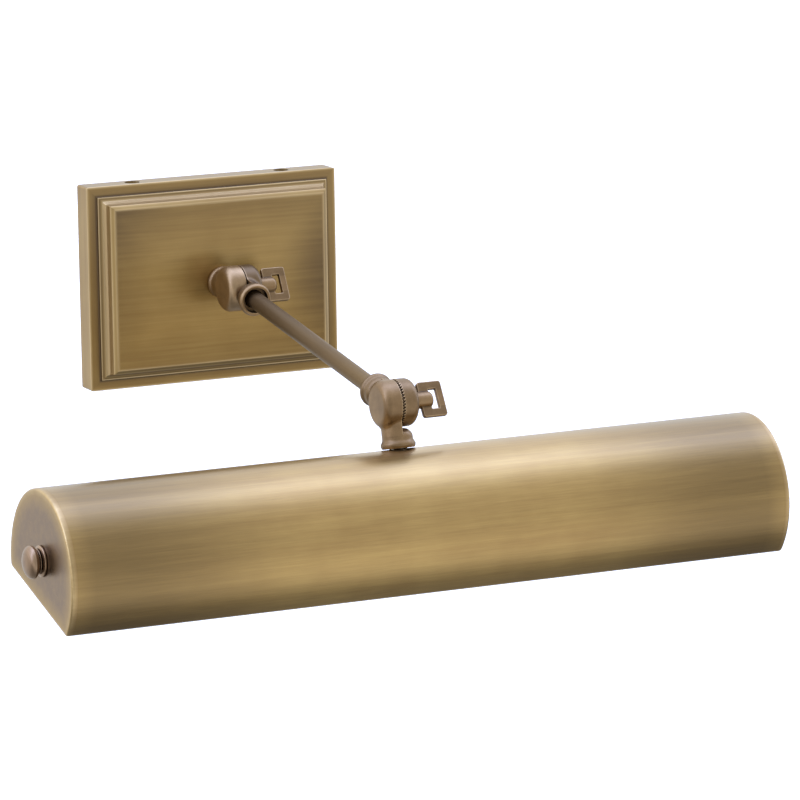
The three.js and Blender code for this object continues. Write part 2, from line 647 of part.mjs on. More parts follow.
// The arm, drawn along +Z from the rear hinge and laid over towards the room.
const arm = new THREE.Group();
arm.position.y = rearHinge;
arm.rotation.x = Math.PI / 2 + radians(ARM_SLOPE);
light.add(arm);
arm.add(piece('arm_knuckle_rear', armKnuckleGeometry(), 'swivel'));
const frontKnuckle = piece('arm_knuckle_front', armKnuckleGeometry(), 'swivel');
frontKnuckle.position.z = ARM_LENGTH;
frontKnuckle.rotation.x = Math.PI;
arm.add(frontKnuckle);
const tubeInset = NECK_BORE_START + GAP;
const tube = sleeve(TUBE_BORE / 2, TUBE_DIAMETER / 2, tubeInset, ARM_LENGTH - tubeInset, 24);
arm.add(piece('arm_tube', tube, 'brass'));
const armLeadRoute = [
  [LEAD_OFFSET, 0, 5.5], [LEAD_OFFSET, 0, 9], [LEAD_OFFSET, 0, 13], [1.2, 0, 20], [0, 0, 40],
  [0, 0, ARM_LENGTH - 40], [1.2, 0, ARM_LENGTH - 20], [LEAD_OFFSET, 0, ARM_LENGTH - 13],
  [LEAD_OFFSET, 0, ARM_LENGTH - 9], [LEAD_OFFSET, 0, ARM_LENGTH - 5.5],
];
arm.add(piece('arm_lead', lead(armLeadRoute, LEAD_DIAMETER, 24), 'insulation'));

// The shade's swivel, drawn along -Z from the front hinge towards the shade.
const frontHinge = new THREE.Group();
const slope = radians(ARM_SLOPE);
frontHinge.position.set(0, rearHinge - ARM_LENGTH * Math.cos(slope), -ARM_LENGTH * Math.sin(slope));
light.add(frontHinge);
const shadeThumbscrew = piece('shade_thumbscrew', thumbscrewGeometry(), 'swivel');
shadeThumbscrew.rotation.x = -radians(SHADE_SCREW_TURN);
frontHinge.add(shadeThumbscrew);

const neck = new THREE.Group();
neck.rotation.x = radians(SHADE_NECK_LEAN);
frontHinge.add(neck);
const arcCentre = NECK_LENGTH + GAP + SHADE_RADIUS;
const neckFrame = new THREE.Group();
neckFrame.position.z = -arcCentre;
neck.add(neckFrame);
const shadeKnuckle = piece('shade_knuckle', knuckleGeometry(1, NIPPLE_HOLE, false), 'swivel');
shadeKnuckle.rotation.y = Math.PI;
neck.add(shadeKnuckle);

// Pieces stacked on the nipple, by their distance from the arc centre.
const webInside = BRACKET_TOP - BRACKET_SHEET;
const shadeStack = [
  ['shade_nipple', nippleGeometry(arcCentre - NIPPLE_START - NIPPLE_FOOT), NIPPLE_FOOT, 'nickel'],
  ['shade_washer', washerGeometry(), webInside - GAP - WASHER_THICKNESS, 'steel'],
  ['shade_nut', nutGeometry(), webInside - 2 * GAP - WASHER_THICKNESS - NUT_THICKNESS, 'nickel'],
  ['socket_bracket', bracketGeometry(), 0, 'steel'],
];
for (const [name, geometry, start, material] of shadeStack) {
  const mesh = piece(name, geometry, material);
  mesh.position.z = start;
  neckFrame.add(mesh);
}

// The shade itself, about its arc centre.
const shade = new THREE.Group();
shade.rotation.x = radians(SHADE_LEAN - SHADE_NECK_LEAN);
neckFrame.add(shade);
shade.add(piece('shade_shell', shellGeometry(), 'brass'));
const sides = [['left', -1], ['right', 1]];
for (const [word, side] of sides) {
  const cap = piece(`end_cap_${word}`, capGeometry(side < 0), 'brass');
  const outward = new THREE.Vector3(side, 0, 0);
  const across = new THREE.Vector3(0, side, 0);
  cap.setRotationFromMatrix(new THREE.Matrix4().makeBasis(across, Z_AXIS, outward));
  cap.position.x = side * (SHADE_LENGTH / 2 - CAP_LIP);
  shade.add(cap);
}

// Lamp holders and bulbs, along the lamp axis.
const socketStart = BRACKET_HALF + GAP;
const capStart = socketStart + SOCKET_LENGTH - SOCKET_BORE_DEPTH + GAP;
const glassStart = capStart + 14;
for (const [word, side] of sides) {
  const lampSide = new THREE.Group();
  lampSide.position.z = LAMP_RISE;
  lampSide.rotation.y = side * Math.PI / 2;
  const stack = [
    [`socket_${word}`, socketGeometry(), socketStart, 'phenolic'],
    [`bulb_cap_${word}`, bulbCapGeometry(), capStart, 'nickel'],
    [`bulb_glass_${word}`, bulbGlassGeometry(BULB_END - glassStart), glassStart, 'glass'],
  ];
  for (const [name, geometry, start, material] of stack) {
    const mesh = piece(name, geometry, material);
    mesh.position.z = start;
    lampSide.add(mesh);
  }
  shade.add(lampSide);
}

// The switch on the left end, a little above the lamp axis.
const switchSide = new THREE.Group();
switchSide.position.z = SWITCH_RISE;
switchSide.rotation.y = -Math.PI / 2;
shade.add(switchSide);
const capFace = SHADE_LENGTH / 2;
const switchStack = [
  ['switch_body', switchBodyGeometry(), capFace - SHADE_SHEET - GAP - SWITCH_LENGTH, 'phenolic'],
  ['switch_ring_nut', ringNutGeometry(), capFace + GAP, 'knob'],
  ['switch_knob', knobGeometry(), capFace, 'knob'],
];
for (const [name, geometry, start, material] of switchStack) {
  const mesh = piece(name, geometry, material);
  mesh.position.z = start;
  switchSide.add(mesh);
}

// Leads inside the shade, in the neck's frame and measured from the arc centre.
const leadTop = arcCentre - 5.5;
const switchLeadRoute = [
  [-LEAD_OFFSET, 0, leadTop], [-LEAD_OFFSET, 0, leadTop - 3.5], [-LEAD_OFFSET, 0, leadTop - 7.5],
  [-1.7, 0, leadTop - 12.5],
  [-1.7, 0, NIPPLE_FOOT + 2], [-2, -5, NIPPLE_FOOT - 4], [-4, -16, NIPPLE_FOOT - 3], [-16, -19, 30],
  [-60, -20, 30], [-140, -20, 30], [-176, -18, 25], [-183, -10, 9], [-185, -5, 6.2],
];
neckFrame.add(piece('switch_lead', lead(switchLeadRoute, LEAD_DIAMETER, 44), 'insulation'));
for (const [word, side] of sides) {
  const route = [
    [side * 1.6, 2.4, NIPPLE_FOOT - 1], [side * 3, 4, NIPPLE_FOOT - 4],
    [side * 6, 1, BRACKET_TOP - 16], [side * BRACKET_HALF, 0, BRACKET_TOP - 16],
    [side * (BRACKET_HALF + 4), 0, BRACKET_TOP - 17],
  ];
  neckFrame.add(piece(`socket_lead_${word}`, lead(route, THIN_LEAD, 8), 'insulation'));
}

export default light;
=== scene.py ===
"""Picture light in antique brass: wall plate, swivelling arm, half-round shade.

Shapes are drawn in millimetres in the frame of their own part, and placed in metres in the row frame:
+X to the right along the shade, +Y into the wall, +Z up, origin at the wall behind the plate.
"""

import json
import math

import bpy
import numpy as np
from mathutils import Matrix, Vector


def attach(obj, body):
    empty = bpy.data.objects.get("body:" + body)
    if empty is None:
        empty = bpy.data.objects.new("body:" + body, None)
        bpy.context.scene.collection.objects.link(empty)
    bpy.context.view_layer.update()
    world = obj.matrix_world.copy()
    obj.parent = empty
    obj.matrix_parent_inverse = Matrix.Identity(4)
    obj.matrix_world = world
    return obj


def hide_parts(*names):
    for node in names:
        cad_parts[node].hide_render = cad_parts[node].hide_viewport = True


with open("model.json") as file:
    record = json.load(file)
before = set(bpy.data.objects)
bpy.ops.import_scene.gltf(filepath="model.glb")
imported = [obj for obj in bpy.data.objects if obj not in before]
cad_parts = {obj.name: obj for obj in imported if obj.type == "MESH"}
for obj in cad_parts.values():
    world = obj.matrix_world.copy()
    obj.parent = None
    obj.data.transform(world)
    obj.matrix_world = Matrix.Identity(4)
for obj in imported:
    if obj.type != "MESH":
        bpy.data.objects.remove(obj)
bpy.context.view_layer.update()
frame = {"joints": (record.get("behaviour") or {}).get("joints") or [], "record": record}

MM = 0.001
scene = bpy.context.scene
rad = math.radians
norm = np.linalg.norm

# -------- camera

HEADING, PITCH, ROLL = rad(25.212), rad(-10.847), rad(-0.836)
ahead = Vector((math.sin(HEADING) * math.cos(PITCH), math.cos(HEADING) * math.cos(PITCH), math.sin(PITCH)))
level = Vector((math.cos(HEADING), -math.sin(HEADING), 0))
above = level.cross(ahead)
right = level * math.cos(ROLL) + above * math.sin(ROLL)
up = above * math.cos(ROLL) - level * math.sin(ROLL)
lens = bpy.data.cameras.new("camera")
lens.lens, lens.sensor_width, lens.clip_end = 241.3, 36, 60
camera = bpy.data.objects.new("camera", lens)
camera.matrix_world = Matrix.Translation((-1.17461, -2.75231, 0.49959)) @ Matrix(
    (right, up, -ahead)).transposed().to_4x4()
scene.collection.objects.link(camera)
scene.camera = camera

# -------- sizes, in millimetres

GAP = 0.3  # between pieces that touch
PLATE_WIDTH, PLATE_HEIGHT, PLATE_CORNER = 151.6, 115.2, 1.3
BAND, DEPTH, PLATE_WALL, PANEL = 14, 25, 3, 1.8
KEEPER_SPACING, KEEPER_HOLE, KEEPER_HEAD, KEEPER_SINK = 91, 8.6, 7.8, 1.7
STRAP_LENGTH, STRAP_THICKNESS, STRAP_DEPTH, STRAP_SCREW_HOLE = 108, 1.6, 9.3, 4.6
SLOT_CENTRE, SLOT_WIDTH, SLOT_LENGTH = 39.7, 5, 15
WIRE_HOLE, WIRE_HOLE_DROP, GROUND_SCREW_RISE = 22, 26, 24
KNUCKLE_RADIUS, KNUCKLE_HALF, NECK_RADIUS, NECK_LENGTH = 12.75, 10.2, 8.2, 23.8
NECK_SHOULDER, NECK_ROUND, NECK_BORE_START = 18, 5.6, 14
BEAD_RADIUS, BEAD_CENTRE, BEAD_HALF = 9.1, 21.9, 1.3
CHAMBER_RADIUS, CHAMBER_FLOOR, CUP_RADIUS, CUP_DEPTH = 8, 4.4, 7.1, 3.4
LEAD_OFFSET, LEAD, THIN_LEAD, PASSAGE_WIDTH = 2.8, 2.4, 1.8, 3.6
SCREW_SHANK, SCREW_COVER, HUB_RADIUS, HUB_END = 5, 1.6, 4.4, 21.9
LOOP_CENTRE, LOOP_HALF, LOOP_CORNER, LOOP_THICKNESS = 21.85, (6.95, 9.8), 1.5, 2.8
ARM_SCREW_TURN, SHADE_SCREW_TURN = 28, 31
ARM_LENGTH, ARM_SLOPE = 203.2, 9
TUBE_RADIUS, TUBE_BORE = 4.8, 3.8
SHADE_LENGTH, SHADE_RADIUS, SHADE_DROP, SHADE_CORNER = 413, 42.9, 17, 3.5
SHADE_LIP, SHADE_SHEET, CAP_RIM, CAP_LIP = 6, 1, 2.6, 3.2
SHADE_LEAN, NECK_LEAN = 16.8, -12.1
ARC_CENTRE = NECK_LENGTH + GAP + SHADE_RADIUS
LAMP_RISE, SWITCH_RISE = 4.7, 6.4
NIPPLE_RADIUS, NIPPLE_BORE, NIPPLE_HOLE, NIPPLE_START, NIPPLE_FOOT = 5, 3.4, 10.6, 18.5, 31
NUT_FLATS, NUT_THICKNESS, WASHER_RADIUS, WASHER_THICKNESS = 14.3, 4, 9, 1.2
BRACKET_HALF, BRACKET_SHEET, BRACKET_TOP, BRACKET_FOOT, BRACKET_WIDTH = 11.6, 1.5, 39.7, -12, 22
SOCKET_BACK, BULB_RADIUS, BULB_END, BULB_GLASS = 9, 15.875, 166, 0.9
BULB_CAP_RADIUS, BULB_CAP_SHEET, GLASS_START = 13.2, 0.6, 14
SWITCH_RADIUS, SWITCH_LENGTH, BUSH_RADIUS = 11, 19, 4.7
RING_NUT_RADIUS, RING_NUT_THICKNESS, KNOB_RADIUS, KNOB_SHOULDER, DOME_HEIGHT = 8.2, 1.5, 8.65, 5.6, 4.2

# -------- frames


def turn(angle, axis):
    return Matrix.Rotation(rad(angle), 4, axis)


def shift(x=0.0, y=0.0, z=0.0):
    return Matrix.Translation((x, y, z))


HINGE = {joint["name"]: Vector(joint["pos_m"]) / MM for joint in frame["joints"]}
REAR = shift(*HINGE["arm_tilt"])
FRONT = shift(*HINGE["shade_tilt"])
PLATE_NECK = REAR @ turn(-90, "X")
ARM = REAR @ turn(90 + ARM_SLOPE, "X")
NECK = FRONT @ turn(NECK_LEAN, "X")
STEM = NECK @ shift(z=-ARC_CENTRE)
SHADE = STEM @ turn(SHADE_LEAN - NECK_LEAN, "X")
WALL = turn(90, "X")
PLACED = Matrix.Identity(4)
HANDS = (("left", -1), ("right", 1))
BODY_OF = {node: body for body, nodes in frame["record"]["behaviour"]["bodies"].items() for node in nodes}

# -------- shape tools


def path(corners, closed=False, step=0.3):
    """Corners (x, y, radius) as a list of points, with each corner rounded to its radius."""
    out = []
    count = len(corners)
    for k, (x, y, radius) in enumerate(corners):
        here = np.array((x, y), float)
        if radius <= 0 or (not closed and k in (0, count - 1)):
            out.append(here)
            continue
        before = np.array(corners[k - 1][:2], float) - here
        after = np.array(corners[(k + 1) % count][:2], float) - here
        room = 0.49 * min(norm(before), norm(after))
        before /= norm(before)
        after /= norm(after)
        half = math.acos(np.clip(before @ after, -1, 1)) / 2
        reach = min(radius / math.tan(half), room)
        radius = reach * math.tan(half)
        middle = before + after
        centre = here + middle / norm(middle) * radius / math.sin(half)
        first = here + before * reach - centre
        last = here + after * reach - centre
        start = math.atan2(first[1], first[0])
        sweep = (math.atan2(last[1], last[0]) - start + math.pi) % (2 * math.pi) - math.pi
        steps = max(3, math.ceil(abs(sweep) * radius / step), math.ceil(abs(sweep) / 0.25))
        for i in range(steps + 1):
            angle = start + sweep * i / steps
            out.append(centre + radius * np.array((math.cos(angle), math.sin(angle))))
    return np.array(out)


def refined(points, step):
    """The same path with no stretch longer than step."""
    out = [points[0]]
    for a, b in zip(points[:-1], points[1:]):
        pieces = max(1, math.ceil(norm(b - a) / step))
        out += [a + (b - a) * i / pieces for i in range(1, pieces + 1)]
    return np.array(out)


def held(points, reach=0.7):
    """The same path with two more points close to the ends of each long stretch."""
    out = [points[0]]
    for a, b in zip(points[:-1], points[1:]):
        length = norm(b - a)
        if length > 3 * reach:
            out += [a + (b - a) * reach / length, b + (a - b) * reach / length]
        out.append(b)
    return np.array(out)


def arc(centre, radius, start, end, steps):
    angles = np.linspace(start, end, steps + 1)
    return np.stack((centre[0] + radius * np.cos(angles), centre[1] + radius * np.sin(angles)), 1)


def corner_marks(points, outside=1):
    """How convex (wear) and how hollow (groove) a path is at each point, both from 0 to 1."""
    lengths = norm(np.diff(points, axis=0), axis=1)
    along = np.concatenate(([0], np.cumsum(lengths)))
    bend = np.zeros(len(points))
    steps = np.diff(points, axis=0) / np.maximum(lengths, 1e-9)[:, None]
    cross = steps[:-1, 0] * steps[1:, 1] - steps[:-1, 1] * steps[1:, 0]
    bend[1:-1] = outside * np.arctan2(cross, (steps[:-1] * steps[1:]).sum(1))
    reach = np.exp(-(((along[:, None] - along[None, :]) / 0.55) ** 2))
    turning = reach @ bend
    return np.clip(turning / 0.9, 0, 1), np.clip(-turning / 0.9, 0, 1)


class Shape:
    """Vertices and faces in millimetres, with named values at the vertices."""

    def __init__(self, points, faces, **values):
        self.points = np.asarray(points, float)
        self.faces = faces
        self.values = values


def grid_faces(rows, columns, closed):
    """Quads between rings of equal point counts. Closed joins the last ring to the first."""
    faces = []
    for r in range(rows if closed else rows - 1):
        for c in range(columns):
            a, b = r * columns + c, r * columns + (c + 1) % columns
            d, e = (r + 1) % rows * columns + c, (r + 1) % rows * columns + (c + 1) % columns
            faces.append((a, b, e, d))
    return faces


def turned(profile, sides=96, thread=None):
    """A turned shape about +Z from [radius, height] points. Thread is (low, high, pitch, depth)."""
    profile = held(np.asarray(profile, float))
    closed = np.allclose(profile[0], profile[-1])
    if closed:
        profile = profile[:-1]
    angles = np.linspace(0, 2 * math.pi, sides, endpoint=False)
    radius = np.repeat(profile[:, 0][:, None], sides, 1)
    height = np.repeat(profile[:, 1][:, None], sides, 1)
    if thread:
        low, high, pitch, depth = thread
        phase = (height - pitch * angles[None, :] / (2 * math.pi)) / pitch
        fade = np.clip(np.minimum(height - low, high - height) / pitch, 0, 1)
        radius = radius - fade * depth * (0.5 - 0.5 * np.cos(2 * math.pi * phase))
    points = np.stack((radius * np.cos(angles), radius * np.sin(angles), height), 2).reshape(-1, 3)
    faces = grid_faces(len(profile), sides, closed)
    lengths = norm(np.diff(profile, axis=0), axis=1)
    along = np.concatenate(([0], np.cumsum(lengths)))
    wear_and_highlight, groove = corner_marks(profile)
    return welded(Shape(
        points, faces,
        along=np.repeat(along, sides), wear_and_highlight=np.repeat(wear_and_highlight, sides), groove=np.repeat(groove, sides)))


def welded(shape):
    """The same shape with coinciding vertices merged and empty faces dropped."""
    keys = np.round(shape.points / 1e-4).astype(np.int64)
    _, first, index = np.unique(keys, axis=0, return_index=True, return_inverse=True)
    index = index.reshape(-1)
    faces = []
    for face in shape.faces:
        ring = []
        for k in face:
            if not ring or index[k] != ring[-1]:
                ring.append(int(index[k]))
        if ring[0] == ring[-1]:
            ring.pop()
        if len(ring) > 2:
            faces.append(tuple(ring))
    return Shape(shape.points[first], faces, **{name: value[first] for name, value in shape.values.items()})


def stacked(rings, closed=False, **marks):
    """A solid through rings of equal point counts, lowest first. Marks hold one value for each ring."""
    rings = [np.asarray(ring, float) for ring in rings]
    count = len(rings[0])
    points = np.concatenate(rings)
    faces = grid_faces(len(rings), count, closed)
    if not closed:
        for ring in (0, len(rings) - 1):
            points = np.concatenate((points, rings[ring].mean(0)[None]))
            middle = len(points) - 1
            for c in range(count):
                pair = (ring * count + c, ring * count + (c + 1) % count)
                faces.append((middle, pair[1], pair[0]) if ring == 0 else (middle, pair[0], pair[1]))
    values = {}
    for name, mark in marks.items():
        value = np.repeat(np.asarray(mark, float), count)
        values[name] = np.concatenate((value, np.zeros(len(points) - len(value))))
    return Shape(points, faces, **values)


def raised(outline, height):
    return np.column_stack((outline, np.full(len(outline), float(height))))


def drawn_out(outline, low, high, steps=1):
    """A closed outline in the YZ plane, drawn out along X."""
    rings = [np.column_stack((np.full(len(outline), x), outline)) for x in np.linspace(low, high, steps + 1)]
    points = np.concatenate(rings)
    count = len(outline)
    faces = grid_faces(len(rings), count, False)
    faces.append(tuple(range(count))[::-1])
    faces.append(tuple(len(points) - count + c for c in range(count)))
    return Shape(points, faces)


def smooth_route(corners, spacing):
    """A centripetal curve through points, sampled at about the given spacing."""
    knots = [np.array(p, float) for p in corners]
    knots = [2 * knots[0] - knots[1]] + knots + [2 * knots[-1] - knots[-2]]
    out = []
    for four in zip(knots, knots[1:], knots[2:], knots[3:]):
        times = np.cumsum([0] + [norm(b - a) ** 0.5 for a, b in zip(four, four[1:])])
        steps = max(2, math.ceil(norm(four[2] - four[1]) / spacing))
        for t in np.linspace(times[1], times[2], steps, endpoint=False):
            level = four
            for starts, ends in (((0, 1, 2), (1, 2, 3)), ((0, 1), (2, 3)), ((1,), (2,))):
                level = [((times[j] - t) * a + (t - times[i]) * b) / (times[j] - times[i])
                         for a, b, i, j in zip(level, level[1:], starts, ends)]
            out.append(level[0])
    out.append(knots[-2])
    return np.array(out)


def lead(corners, diameter, sides=14):
    """A round lead along a smooth route."""
    route = smooth_route(corners, 1.5)
    side = None
    rings = []
    angles = np.linspace(0, 2 * math.pi, sides, endpoint=False)
    for k, point in enumerate(route):
        way = route[min(k + 1, len(route) - 1)] - route[max(k - 1, 0)]
        way /= norm(way)
        if side is None:
            side = np.cross(way, (0.0, 0.6, 0.8))
        side = side - way * (side @ way)
        side /= norm(side)
        other = np.cross(way, side)
        rings.append(point + diameter / 2 * (
            np.cos(angles)[:, None] * side + np.sin(angles)[:, None] * other))
    lengths = norm(np.diff(route, axis=0), axis=1)
    return stacked(rings, along=np.concatenate(([0], np.cumsum(lengths))))


# -------- shapes from distance functions


def blend_min(a, b, width):
    mix = np.clip(0.5 + 0.5 * (b - a) / width, 0, 1)
    return b + (a - b) * mix - width * mix * (1 - mix)


def blend_max(a, b, width):
    return -blend_min(-a, -b, width)


def rounded_box(offsets, radius):
    """Distance to a box with rounded edges, from the distances past its faces on each axis."""
    q = [offset + radius for offset in offsets]
    outside = np.sqrt(sum(np.maximum(v, 0) ** 2 for v in q))
    inside = np.minimum(np.maximum.reduce(q), 0)
    return outside + inside - radius


def surface(distance, low, high, step, reach=0.7):
    """The zero level of a distance function as quads, with its edges (wear) and hollows (groove)."""
    low = np.array(low, float)
    axes = [np.arange(a, b + step, step) for a, b in zip(low, high)]
    value = distance(*np.meshgrid(*axes, indexing="ij"))
    inside = value < 0
    cells = tuple(n - 1 for n in value.shape)
    count = np.zeros(cells, np.int8)
    for i, j, k in np.ndindex(2, 2, 2):
        count += inside[i:i + cells[0], j:j + cells[1], k:k + cells[2]]
    mixed = (count > 0) & (count < 8)
    where = np.argwhere(mixed)
    total = np.zeros((len(where), 3))
    hits = np.zeros(len(where))
    units = np.eye(3, dtype=int)
    for axis, unit in enumerate(units):
        for i, j in np.ndindex(2, 2):
            a = where + i * units[(axis + 1) % 3] + j * units[(axis + 2) % 3]
            va, vb = value[tuple(a.T)], value[tuple((a + unit).T)]
            crossed = (va < 0) != (vb < 0)
            share = va[crossed] / (va[crossed] - vb[crossed])
            total[crossed] += a[crossed] + share[:, None] * unit
            hits[crossed] += 1
    points = low + step * total / hits[:, None]
    number = np.full(cells, -1)
    number[mixed] = np.arange(len(where))
    faces = []
    for axis in range(3):
        u, v = (axis + 1) % 3, (axis + 2) % 3
        first = [slice(None)] * 3
        second = [slice(None)] * 3
        first[axis], second[axis] = slice(0, -1), slice(1, None)
        a, b = inside[tuple(first)], inside[tuple(second)]
        edges = np.argwhere(a != b)
        for way in (u, v):
            edges = edges[(edges[:, way] > 0) & (edges[:, way] < cells[way])]
        around = ((0, 0), (1, 0), (1, 1), (0, 1))
        quads = np.stack([number[tuple((edges - i * units[u] - j * units[v]).T)] for i, j in around], 1)
        outward = a[tuple(edges.T)]
        faces.append(np.where(outward[:, None], quads, quads[:, ::-1]))
    faces = np.concatenate(faces)
    near = step * 0.1
    for _ in range(3):
        slope = np.stack([
            (distance(*(points + d).T) - distance(*(points - d).T)) / (2 * near)
            for d in np.eye(3) * near], 1)
        move = -distance(*points.T)[:, None] * slope / np.maximum((slope ** 2).sum(1), 0.3)[:, None]
        size = norm(move, axis=1)
        points = points + move * np.minimum(1, 0.5 * step / np.maximum(size, 1e-9))[:, None]
    bend = -6 * distance(*points.T)
    for d in np.eye(3) * reach:
        bend = bend + distance(*(points + d).T) + distance(*(points - d).T)
    bend = bend / reach ** 2
    return Shape(
        points, [tuple(int(k) for k in face) for face in faces],
        wear_and_highlight=np.clip((bend - 0.5) / 1.6, 0, 1), groove=np.clip((-bend - 0.3) / 1.2, 0, 1))


# -------- pieces


def moved(shape, matrix):
    world = np.array(matrix)
    return Shape(shape.points @ world[:3, :3].T + world[:3, 3], shape.faces, **shape.values)


def mesh_object(name, shape, matrix):
    mesh = bpy.data.meshes.new(name)
    mesh.from_pydata((moved(shape, matrix).points * MM).tolist(), [], shape.faces)
    mesh.validate()
    mesh.update()
    thing = bpy.data.objects.new(name, mesh)
    scene.collection.objects.link(thing)
    return thing


def combined(operation, shape, *others):
    """A shape with others added or cut away by exact booleans. Values at the vertices are lost."""
    base = mesh_object("base", shape, PLACED)
    helpers = [mesh_object("helper", other, PLACED) for other in others]
    for helper in helpers:
        step = base.modifiers.new("step", "BOOLEAN")
        step.operation, step.solver, step.object = operation, "EXACT", helper
    result = base.evaluated_get(bpy.context.evaluated_depsgraph_get()).to_mesh()
    points = np.array([v.co for v in result.vertices]) / MM
    faces = [tuple(p.vertices) for p in result.polygons]
    for thing in [base, *helpers]:
        bpy.data.objects.remove(thing)
    return Shape(points, faces)


def cut(shape, *tools):
    return combined("DIFFERENCE", shape, *tools)


def rod(radius, low, high, sides=48):
    return turned([[0, low], [radius, low], [radius, high], [0, high]], sides)


def vertex_values(mesh, name, values, kind="FLOAT"):
    layer = mesh.attributes.new(name, kind, "POINT")
    field = "vector" if kind == "FLOAT_VECTOR" else "value"
    layer.data.foreach_set(field, np.asarray(values, np.float32).reshape(-1))


def add(node, shape, matrix, slot, material, grain="lathe", sharp=32):
    """A finished piece in place of a CAD node.

    Grain is 'lathe' for fine rings about +Z, 'cast' for an even texture, or a function that gives the
    texture position of each vertex, with X along the brushing."""
    thing = mesh_object(f"{node}_fine", shape, matrix)
    mesh = thing.data
    points = shape.points
    if callable(grain):
        place = grain(points)
    elif grain == "lathe":
        along = shape.values.get("along", points[:, 2])
        place = np.column_stack((0.04 * points[:, 0], along, 0.04 * points[:, 1]))
    else:
        place = points
    vertex_values(mesh, "grain", place, "FLOAT_VECTOR")
    vertex_values(mesh, "place", points, "FLOAT_VECTOR")
    for name in ("wear_and_highlight", "groove", "patina_and_shade"):
        vertex_values(mesh, name, shape.values.get(name, np.zeros(len(points))))
    mesh.materials.append(material)
    mesh.shade_smooth()
    mesh.set_sharp_from_angle(angle=rad(sharp))
    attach(thing, BODY_OF[node])
    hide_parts(node)


# -------- materials


def colour(red, green, blue):
    return (red, green, blue, 1.0)


class Graph:
    """A short way to write the nodes of a material or a world."""

    def __init__(self, owner):
        self.owner = owner
        owner.use_nodes = True
        self.tree = owner.node_tree
        self.tree.nodes.clear()

    def node(self, kind, inputs, **settings):
        node = self.tree.nodes.new(kind)
        for name, value in settings.items():
            setattr(node, name, value)
        for name, value in inputs.items():
            if isinstance(value, bpy.types.NodeSocket):
                self.tree.links.new(value, node.inputs[name])
            else:
                node.inputs[name].default_value = value
        return node

    def value(self, name, output="Fac"):
        return self.node("ShaderNodeAttribute", {}, attribute_name=name).outputs[output]

    def math(self, operation, a, b=0.0):
        return self.node("ShaderNodeMath", {0: a, 1: b}, operation=operation).outputs[0]

    def span(self, value, low, high, to_low=0.0, to_high=1.0):
        names = {"Value": value, "From Min": low, "From Max": high, "To Min": to_low, "To Max": to_high}
        return self.node("ShaderNodeMapRange", names, clamp=True).outputs[0]

    def noise(self, position, scale, detail=3.0, rough=0.55):
        inputs = {"Vector": position, "Scale": scale, "Detail": detail, "Roughness": rough}
        return self.node("ShaderNodeTexNoise", inputs).outputs["Fac"]

    def mix(self, share, a, b, blend="MIX"):
        node = self.node("ShaderNodeMix", {0: share, 6: a, 7: b}, data_type="RGBA", blend_type=blend)
        return node.outputs[2]

    def bump(self, height, strength, distance):
        inputs = {"Height": height, "Strength": strength, "Distance": distance}
        return self.node("ShaderNodeBump", inputs).outputs["Normal"]

    def finish(self, **sockets):
        inputs = {name.replace("_", " "): value for name, value in sockets.items()}
        shader = self.node("ShaderNodeBsdfPrincipled", inputs)
        self.node("ShaderNodeOutputMaterial", {"Surface": shader.outputs[0]})
        return self.owner


def material_graph(name):
    return Graph(bpy.data.materials.new(name))


def metal(name, bright, dull, recess, edge, roughness, lines=0.5, bump=0.25, anisotropic=0.0, coat=0.8,
          fine=1.6, streak=0.22, patch=0.03, spread=(0.38, 0.62), patina_and_shade_colour=None):
    """Metal with brushing lines, slow streaks and patches, patina and painted shade, dark recesses, and
    rubbed edges with painted highlights.
    """
    g = material_graph(name)
    grain, place = g.value("grain", "Vector"), g.value("place", "Vector")
    fine_lines = g.noise(grain, fine, 4, 0.7)
    streaks = g.noise(grain, streak, 5, 0.62)
    patches = g.noise(place, patch, 3, 0.5)
    tone = g.math("ADD", g.math("MULTIPLY", streaks, 0.55), g.math("MULTIPLY", patches, 0.45))
    tone = g.span(tone, spread[0], spread[1])
    base = g.mix(tone, colour(*bright), colour(*dull))
    # Patina, and painted shade at the shade's ends, on the arm tube, on the plate's top face and on the wall
    # swivel's arm half, mixed towards a darker colour.
    patina_and_shade = g.math("MULTIPLY", g.value("patina_and_shade"), g.span(streaks, 0.3, 0.6, 0.8, 1.0))
    base = g.mix(patina_and_shade, base, colour(*(patina_and_shade_colour or (0.36 * v for v in bright))))
    shade = g.span(fine_lines, 0.3, 0.7, 1 - 0.16 * lines, 1 + 0.16 * lines)
    grey = g.node("ShaderNodeCombineColor", {0: shade, 1: shade, 2: shade}).outputs[0]
    base = g.mix(1.0, base, grey, "MULTIPLY")
    groove = g.math("MULTIPLY", g.value("groove"), g.span(streaks, 0.3, 0.6, 0.75, 1.0))
    base = g.mix(groove, base, colour(*recess))
    # Rubbed edges, and painted highlights round the swivel's foot, on the cap rims and over the wall
    # swivel's plate half, mixed towards the edge colour.
    wear_and_highlight = g.math("MULTIPLY", g.value("wear_and_highlight"), g.span(streaks, 0.35, 0.65, 1.0, 0.55))
    base = g.mix(wear_and_highlight, base, colour(*edge))
    rough = g.math("ADD", g.span(fine_lines, 0.25, 0.75, roughness - 0.05, roughness + 0.07),
                   g.math("MULTIPLY", groove, 0.2))
    rough = g.math("SUBTRACT", rough, g.math("MULTIPLY", wear_and_highlight, 0.06))
    normal = g.bump(fine_lines, bump, 0.00012)
    sockets = {"Base_Color": base, "Metallic": 1.0, "Roughness": rough, "Normal": normal,
               "Coat_Weight": coat, "Coat_Roughness": 0.24}
    if anisotropic:
        sockets["Anisotropic"] = anisotropic
        sockets["Anisotropic_Rotation"] = 0.25
        sockets["Tangent"] = g.node("ShaderNodeCombineXYZ", {0: 1.0}).outputs[0]
    return g.finish(**sockets)


